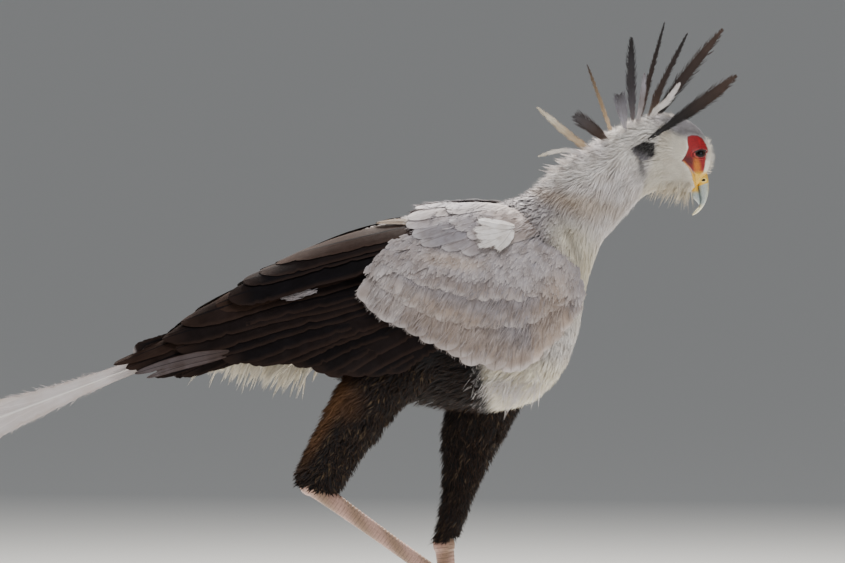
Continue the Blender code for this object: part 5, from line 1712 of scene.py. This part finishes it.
# %% [markdown]
# The points are then pushed out into wrinkles, brow, lids and the fold at the mouth's corner.
# Around the eyeball they are pulled in, so that the ball looks out between real lids.

# %% Relief of the bare face
ring = np.sin(from_edge / 0.00062 + 1.2 * np.sin(3 * around_eye))
folds = ring * ramp(from_edge, 0.0004, 0.0022) * ramp(from_edge, 0.0085, 0.004)
fine = np.sin(from_edge / 0.0003 + 2.5 * np.sin(4 * around_eye) + 1.5 * np.sin(px * 1.3))
creases = fine * ramp(from_edge, 0.001, 0.003)
wrinkles = (folds * 0.0006 + creases * 0.00022) * red
brow = 0.0021 * np.exp(-((from_edge - 0.004) / 0.0022) ** 2) * ramp(np.sin(around_eye), -0.1, 0.75)
bag = 0.0007 * np.exp(-((from_edge - 0.0034) / 0.0013) ** 2) * ramp(-np.sin(around_eye), 0.0, 0.7)
fold = 0.001 * np.exp(-((gape_reach / 0.55) ** 2)) - 0.0006 * np.exp(-(((gape_reach - 1.5) / 0.6) ** 2))
near = ramp(np.abs(point[..., 1]), 0.004, 0.01)
point = point + normal * ((wrinkles + brow + bag) * near + fold * near)[..., None]
off = point - EYE * flip
ball = np.linalg.norm(off, axis=-1)
rim = EYE_RADIUS + 0.0011 * np.exp(-((from_edge - 0.0005) / 0.0007) ** 2) + 0.0004
under = EYE_RADIUS - 0.0022
pulled = under + (rim - under) * ramp(from_edge, -0.0007, -0.0002)
wanted = np.where(from_edge > -0.0002, np.maximum(ball, rim), pulled)
hold = ramp(-from_edge, -0.0042, -0.0012) * (out > 0.003)
point = EYE * flip + unit(off) * (ball + (wanted - ball) * hold)[..., None]
print("the lids stand up to", round(1000 * float(rim.max() - EYE_RADIUS), 2), "mm over the eyeball")

# %% [markdown]
# Its tones start as the marks of the body and turn red over the bare skin, with painted shade
# in the folds and in the groove beside the mouth. Orange and yellow run along the mouth, and
# black lines follow the lids; the wide one over the upper lid is partly lashes, partly painted
# shade under the brow.

# %% Tones of the bare face
dark_red = np.array([0.045, 0.002, 0.003])
pinkish = np.array([0.5, 0.1, 0.09])

tone = body_marks(point)
tone = blend(tone, "red", red)
# Painted shade darkens the valleys of the wrinkles.
fold_shade = ramp(folds + 0.7 * creases, 0.2, -0.9) * ramp(from_edge, 0.0003, 0.0015)
tone = blend(tone, dark_red, 0.9 * red * fold_shade)
tone = blend(tone, dark_red, 0.85 * red * spot(px, py, (687.5, 159.5), (7, 5), 30, 0.8))
tone = blend(tone, dark_red, 0.7 * red * ramp(-red_reach, 1.2, 0.2) * ramp(py, 163, 156))
tone = blend(tone, "orange", 0.8 * red * spot(px, py, (696.5, 166), (3.2, 8), -8, 0.7))
tone = blend(tone, "yellow", 0.95 * ramp(py, 169, 174.5) * ramp(px, 690, 693))
tone = blend(tone, "orange", 0.95 * np.exp(-((gape_reach / 0.7) ** 2)) * near)
tone = blend(tone, "yellow", 0.9 * np.exp(-((gape_reach / 0.8) ** 2)) * ramp(py, 168, 176))
# Crimson in the groove beside the mouth's fold is painted shade.
tone = blend(tone, "crimson", 0.85 * np.exp(-(((gape_reach - 1.6) / 0.7) ** 2)) * near * ramp(py, 184, 168))
tone = blend(tone, pinkish, 0.75 * np.exp(-((from_edge - 0.0006) / 0.0009) ** 2))
lid_line = 0.0004 + 0.001 * ramp(np.sin(around_eye), 0.0, 0.5)
tone = blend(tone, "black", np.exp(-((from_edge + 0.0001) / lid_line) ** 2) + (from_edge < -0.0002))
# The wide black band over the upper lid is partly lashes and partly painted shade under the brow.
tone = blend(tone, "black", 0.95 * ramp(np.sin(around_eye), 0.05, 0.4) * ramp(from_edge, 0.004, 0.0028))

face = loft("face_skin", point)
give_tint(face.data, natural(tone).reshape(-1, 3))
bpy.ops.object.shade_smooth_by_angle(angle=SOFT_EDGE)
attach(face, BODY)
print("face", len(face.data.polygons), "faces")

# %% [markdown]
# Bare skin is waxy and finely pebbled. One kind of material serves face and cere: noise and tiny
# cells break up the painted marks, and the pebbles catch the light through the bump.

# %% Bare skin material
PEBBLE_HEIGHT = 0.0005


def pebbled(name, roughness, cells, grain, strength, contrast, coat_weight):
    """Material for skin or horn whose colour is in the attribute tint."""
    material, tree, shader = tree_of(name, roughness, 0.45)
    given(shader, Coat_Weight=coat_weight, Coat_Roughness=0.25)
    place = object_place(tree)
    cell = given(tree.nodes.new("ShaderNodeTexVoronoi"), Scale=cells)
    wire(tree, place, cell.inputs["Vector"])
    fine = noise(tree, place, grain, 5.0)
    colour = streaked(tree, attribute(tree, "tint"), span(tree, fine, 0.3, 0.7), contrast)
    wire(tree, colour, shader.inputs["Base Color"])
    height = sums(tree, "MULTIPLY_ADD", fine, 0.6, cell.outputs["Distance"])
    bumped(tree, shader, height, strength, PEBBLE_HEIGHT)
    return material


face.data.materials.clear()
face.data.materials.append(pebbled("bare_skin", 0.45, 620.0, 1100.0, 0.9, 0.3, 0.05))
print("face material", face.data.materials[0].name)

# %% [markdown]
# The eye is a dark ball under a clear, wet cornea. A number on each point, its angle from the
# eye's axis, parts pupil, brown iris and dark rim, and noise draws the fibres of the iris.

# %% Eyes
IRIS_STOPS = [
    (0.0, (0.002, 0.002, 0.002)), (0.27, (0.002, 0.002, 0.002)), (0.31, (0.03, 0.011, 0.004)),
    (0.5, (0.04, 0.014, 0.006)), (0.57, (0.01, 0.005, 0.004)),
]
FIBRE_SCALE, FIBRE_SHARE = 1800.0, 0.05


def dark_eye():
    material, tree, shader = tree_of("wet_eye", 0.25, 0.0)
    given(shader, Coat_Weight=0.5, Coat_Roughness=0.02)
    band = tree.nodes.new("ShaderNodeValToRGB")
    stops = band.color_ramp.elements
    stops[0].position, stops[0].color = IRIS_STOPS[0][0], (*IRIS_STOPS[0][1], 1)
    stops[1].position, stops[1].color = IRIS_STOPS[-1][0], (*IRIS_STOPS[-1][1], 1)
    for position, colour in IRIS_STOPS[1:-1]:
        stops.new(position).color = (*colour, 1)
    fibres = noise(tree, object_place(tree), FIBRE_SCALE)
    angle = sums(tree, "SUBTRACT", attribute(tree, "off_axis", "Fac"), FIBRE_SHARE / 2)
    wire(tree, sums(tree, "MULTIPLY_ADD", fibres, FIBRE_SHARE, angle), band.inputs[0])
    wire(tree, band.outputs["Color"], shader.inputs["Base Color"])
    return material


eye_finish = dark_eye()
for sign, label in ((1, "left"), (-1, "right")):
    bpy.ops.object.select_all(action="DESELECT")
    bpy.ops.mesh.primitive_uv_sphere_add(segments=64, ring_count=40, radius=EYE_RADIUS)
    eye = bpy.context.object
    eye.name = eye.data.name = "eyeball_" + label
    centre = EYE * (1, sign, 1)
    eye.data.transform(Matrix.Translation(Vector(centre)))
    offs = unit(points_of(eye.data) - centre) @ (EYE_AXIS * (1, sign, 1))
    off_axis = np.arccos(np.clip(offs, -1, 1)) / (math.pi / 2)
    eye.data.attributes.new("off_axis", "FLOAT", "POINT").data.foreach_set("value", off_axis)
    bpy.ops.object.shade_smooth_by_angle(angle=SOFT_EDGE)
    eye.data.materials.append(eye_finish)
    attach(eye, BODY)
    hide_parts("eye_" + label)
print("eyes at", EYE)

# %% [markdown]
# The bill grows out of the face's last slice. Cere and both halves of the bill are lofts
# through the same slices as the solids, only much finer. The nostril is pressed into the cere.

# %% Slices, relief and tones of bill and cere
CERE_END = (0.3646, 0.8822, 0.3488, 0.8763, 0.0101)
UPPER_BILL = [
    CERE_END, (0.3648, 0.869, 0.3508, 0.8665, 0.0083), (0.3618, 0.856, 0.3527, 0.8555, 0.0065),
    (0.356, 0.845, 0.3508, 0.847, 0.0046), (0.3485, 0.837, 0.3452, 0.8403, 0.0029),
    (0.3412, 0.8328, 0.3403, 0.8341, 0.001),
]


def face_slice(first, last, width):
    """Part of the face's end slice, as shares of its height from the top."""
    ux, uz, lx, lz, _ = BODY_RIBS[-1]
    top_x, top_z = ux + (lx - ux) * first, uz + (lz - uz) * first
    return top_x, top_z, ux + (lx - ux) * last, uz + (lz - uz) * last, width


CERE_RIBS = [(0.361, 0.896, 0.344, 0.885, 0.0108), face_slice(-0.02, 0.57, 0.0114), CERE_END]
LOWER_BILL = [
    face_slice(0.56, 1.0, 0.0104), (0.35, 0.869, 0.3415, 0.86, 0.0086),
    (0.3522, 0.859, 0.3474, 0.853, 0.0058), (0.3522, 0.8512, 0.3504, 0.8486, 0.0026),
]
BILL_SQUARE = 2.05
for form, ribs in (("cere", CERE_RIBS), ("bill_upper", UPPER_BILL), ("bill_lower", LOWER_BILL)):
    FORMS[form] = (ribs, BILL_SQUARE, 0.0)

NOSTRIL, NOSTRIL_RADII = (702.9, 179.6), (2.3, 1.35)
HORN = np.array([0.33, 0.38, 0.38])
HORN_FRONT = np.array([0.46, 0.48, 0.4])
HORN_TIP = np.array([0.8, 0.74, 0.48])
NOSTRIL_RIM = np.array([0.86, 0.74, 0.3])


def nostril_reach(px, py):
    return np.hypot((px - NOSTRIL[0]) / NOSTRIL_RADII[0], (py - NOSTRIL[1]) / NOSTRIL_RADII[1])


def cere_relief(point, t):
    """How far the cere's points stand out: its swell, the nostril and the rim around it."""
    hole = nostril_reach(*pixels(point))
    wide = np.abs(point[..., 1]) > 0.003
    rim = 0.0005 * np.exp(-(((hole - 1.25) / 0.25) ** 2)) * wide
    push = -0.0028 * ramp(hole, 1.05, 0.7) * wide
    swell = 0.0006 * np.sin(math.pi * t / 2)
    return rim + push + swell


def cere_colours(point):
    px, py = pixels(point)
    tone = blend("yellow", "orange", 0.35 * ramp(py, 177, 173))
    hole = nostril_reach(px, py)
    tone = blend(tone, NOSTRIL_RIM, 0.9 * np.exp(-(((hole - 1.3) / 0.28) ** 2)))
    # Black inside the pressed-in nostril is painted shade.
    return blend(tone, "black", ramp(hole, 1.05, 0.85))


def upper_colours(point):
    px, py = pixels(point)
    tone = blend(HORN, HORN_FRONT, ramp(px, 702, 708))
    # A painted yellow highlight runs along the upper front edge.
    tone = blend(tone, "yellow", 0.5 * ramp(px, 706.6, 709) * ramp(py, 196, 184))
    tone = blend(tone, HORN_TIP, ramp(py, 202, 209))
    return blend(tone, "rust", 0.7 * spot(px, py, (698.6, 205.4), (1.3, 1.6), 0, 0.6))


def lower_colours(point):
    _, py = pixels(point)
    tone = blend("yellow", HORN, ramp(py, 189, 194))
    return blend(tone, "orange", 0.5 * ramp(py, 182, 177))


print("the nostril is", round(2 * NOSTRIL_RADII[0] * PIXEL * 1000, 1), "mm long")

# %% [markdown]
# Each part is a fine grid over its slices, moved by its relief, lofted and tinted. It stands
# for the solid of the same name.

# %% Bill and cere
def dress(piece, tone, finish, slot, *nodes):
    """Smooths, tints and finishes a piece that stands for the given nodes."""
    give_tint(piece.data, tone)
    bpy.ops.object.shade_smooth_by_angle(angle=SOFT_EDGE)
    piece.data.materials.clear()
    piece.data.materials.append(finish)
    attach(piece, BODY)
    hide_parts(*nodes)
    print(piece.name, len(piece.data.polygons), "faces")


def make_bill(form, count, around, colours, finish, slot, name, relief=None):
    """One part of the bill from its slices. relief says how far its points stand out."""
    t = np.linspace(0, len(FORMS[form][0]) - 1, count)[:, None]
    turn = np.linspace(0, 2 * math.pi, around, endpoint=False)[None, :]
    point, normal, _, _ = form_frame(form, t, turn)
    if relief:
        point = point + normal * relief(point, t)[..., None]
    dress(loft(name, point), natural(colours(point)).reshape(-1, 3), finish, slot, form)


horn_finish = pebbled("bill_horn_finish", 0.28, 900.0, 500.0, 0.12, 0.16, 0.35)
cere_finish = pebbled("waxy_cere", 0.38, 1300.0, 1500.0, 0.3, 0.14, 0.2)
make_bill("cere", 70, 150, cere_colours, cere_finish, "cere_skin", "cere_skin_part", cere_relief)
make_bill("bill_upper", 110, 84, upper_colours, horn_finish, "bill_horn", "bill_upper_part")
make_bill("bill_lower", 70, 70, lower_colours, horn_finish, "bill_horn", "bill_lower_part")

# %% [markdown]
# The bare legs carry broad scutes in front and small scales at the sides. The scutes are
# shaped in the mesh as a row of low steps, and the small scales come from cells in the bump.

# %% Legs
SKIN_PINK = np.array([0.44, 0.27, 0.22])
SKIN_TAN = np.array([0.27, 0.17, 0.115])
HOCK_RADIUS, HOCK_HALF = 0.0165, 0.014
SHANK_DEEP, SHANK_WIDE = 0.0106, 0.0078
SCUTE_STEP, SCUTE_HEIGHT = 0.0058, 0.00075
SCALE_STEP, SCALE_HEIGHT = 0.00062, 0.00032
INTO_FOOT = 0.005


def shank(name, hock, ankle, node):
    """A bare lower leg: a ball at the hock and a flattened rod down to the ankle."""
    hock, ankle = np.array(hock), np.array(ankle)
    way = unit(ankle - hock)
    reach = np.linalg.norm(ankle - hock)
    front = unit(np.cross(way, np.array([0.0, 1.0, 0.0])))
    front *= np.sign(front[0])
    side = np.cross(way, front)
    s = np.linspace(-0.0163, reach + INTO_FOOT, 270)[:, None]
    f = np.clip(s / reach, 0, 1)
    swell = 1 + 0.35 * (1 - f) ** 4 + 0.12 * f ** 6
    ball = np.sqrt(np.clip(1 - (s / HOCK_RADIUS) ** 2, 0.0004, 1)) * (s < HOCK_RADIUS)
    deep = np.where(s < 0, ball * HOCK_RADIUS, np.maximum(SHANK_DEEP * swell, HOCK_RADIUS * ball))
    wide = np.where(s < 0, ball * HOCK_HALF, np.maximum(SHANK_WIDE * swell, HOCK_HALF * ball))
    angle = np.linspace(0, 2 * math.pi, 56, endpoint=False)[None, :]
    facing = ramp(np.cos(angle), 0.15, 0.6)
    step = (s / SCUTE_STEP + 0.12 * np.cos(2 * angle)) % 1.0
    scute = SCUTE_HEIGHT * (1 - step) * np.minimum(step / 0.1, 1)
    rows_of_scales = np.sin(s / SCALE_STEP + math.pi * np.floor(angle * 9 / math.pi))
    small = SCALE_HEIGHT * np.abs(rows_of_scales) * np.abs(np.sin(9 * angle)) ** 0.5
    raised = (scute * facing + small * (1 - facing)) * (s > 0.004)
    points = hock + way * s[..., None] + front * ((deep + raised) * np.cos(angle))[..., None]
    points = points + side * ((wide + raised) * np.sin(angle))[..., None]
    edge = ramp(step, 0.16, 0.0) * facing + ramp(small / SCALE_HEIGHT, 0.45, 0.1) * (1 - facing)
    tone = blend(SKIN_PINK, SKIN_TAN, 0.5 + 0.5 * np.sin(s * 90 + np.cos(angle) * 2))
    tone = np.clip(tone * (1 - 0.5 * edge[..., None]), 0, 1).reshape(-1, 3)
    dress(loft(name, points), tone, scaly, "leg_skin", node)


scaly = pebbled("scaly_skin", 0.5, 700.0, 900.0, 0.5, 0.2, 0.05)
shank("shank_right", (-0.224, -0.05, 0.4375), (0.016, -0.042, 0.264), "tarsus_right")
shank("shank_left", (-0.0265, 0.046, 0.34), (0.004, 0.02, 0.044), "tarsus_left")

# %% [markdown]
# Feet and claws start as copies of the solids. A fine remesh and some smoothing join toes and
# sole into one skin, and the same scaly material covers them. Claws are dark worn horn.

# %% Feet and claws
CLAW_TONE = (0.05, 0.043, 0.038)


def refined(name, nodes, voxel, passes, grow, finish, slot, tone):
    """One smooth skin round copies of the nodes, grown a little so that no gap is left."""
    piece = joined(name, [new_piece(name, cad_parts[node].data.copy()) for node in nodes])
    apply(piece, "REMESH", mode="VOXEL", voxel_size=voxel)
    apply(piece, "SMOOTH", iterations=passes, factor=0.5)
    apply(piece, "DISPLACE", strength=grow, mid_level=0.0)
    wave = 0.5 + 0.5 * np.sin(points_of(piece.data)[:, 0] * 1100)
    dress(piece, np.asarray(tone) * (0.75 + 0.25 * wave[:, None]), finish, slot, *nodes)


claw_finish = pebbled("claw_horn_finish", 0.3, 1200.0, 700.0, 0.2, 0.35, 0.3)
for label in ("right", "left"):
    refined("toes_" + label, ["foot_" + label], 0.0016, 5, 0.0005, scaly, "leg_skin", SKIN_PINK)
    claws = [f"claw_{toe}_{label}" for toe in ("inner", "middle", "outer", "hind")]
    refined("claws_" + label, claws, 0.001, 3, 0.0007, claw_finish, "claw_horn", CLAW_TONE)

# %% [markdown]
# The base is an oval board with a rounded edge, painted a plain warm grey. The paint has a
# faint orange peel.

# %% Base board
BOARD_SIZE = (0.36, 0.26)
BOARD_EDGE = 0.004
CLOUD_SCALE, PEEL_SCALE = 35.0, 900.0

bpy.ops.object.select_all(action="DESELECT")
bpy.ops.mesh.primitive_cylinder_add(
    vertices=160, radius=0.5, depth=BASE_TOP, location=(0, 0, BASE_TOP / 2),
)
board = bpy.context.object
board.name = board.data.name = "display_board"
board.scale = (*BOARD_SIZE, 1.0)
bpy.ops.object.transform_apply(location=True, rotation=True, scale=True)
apply(board, "BEVEL", width=BOARD_EDGE, segments=5, limit_method="ANGLE")
bpy.ops.object.shade_smooth_by_angle(angle=math.radians(35))

paint, tree, shader = tree_of("warm_grey_paint", 0.45, 0.4)
place = object_place(tree)
cloud = noise(tree, place, CLOUD_SCALE, 6.0)
peel = noise(tree, place, PEEL_SCALE)
wire(tree, mixed(tree, cloud, (0.46, 0.44, 0.4), (0.58, 0.56, 0.52)), shader.inputs["Base Color"])
bumped(tree, shader, peel, 0.15, 0.0003)
board.data.materials.append(paint)
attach(board, BODY)
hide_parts("stand_base")
print("board", len(board.data.polygons), "faces")
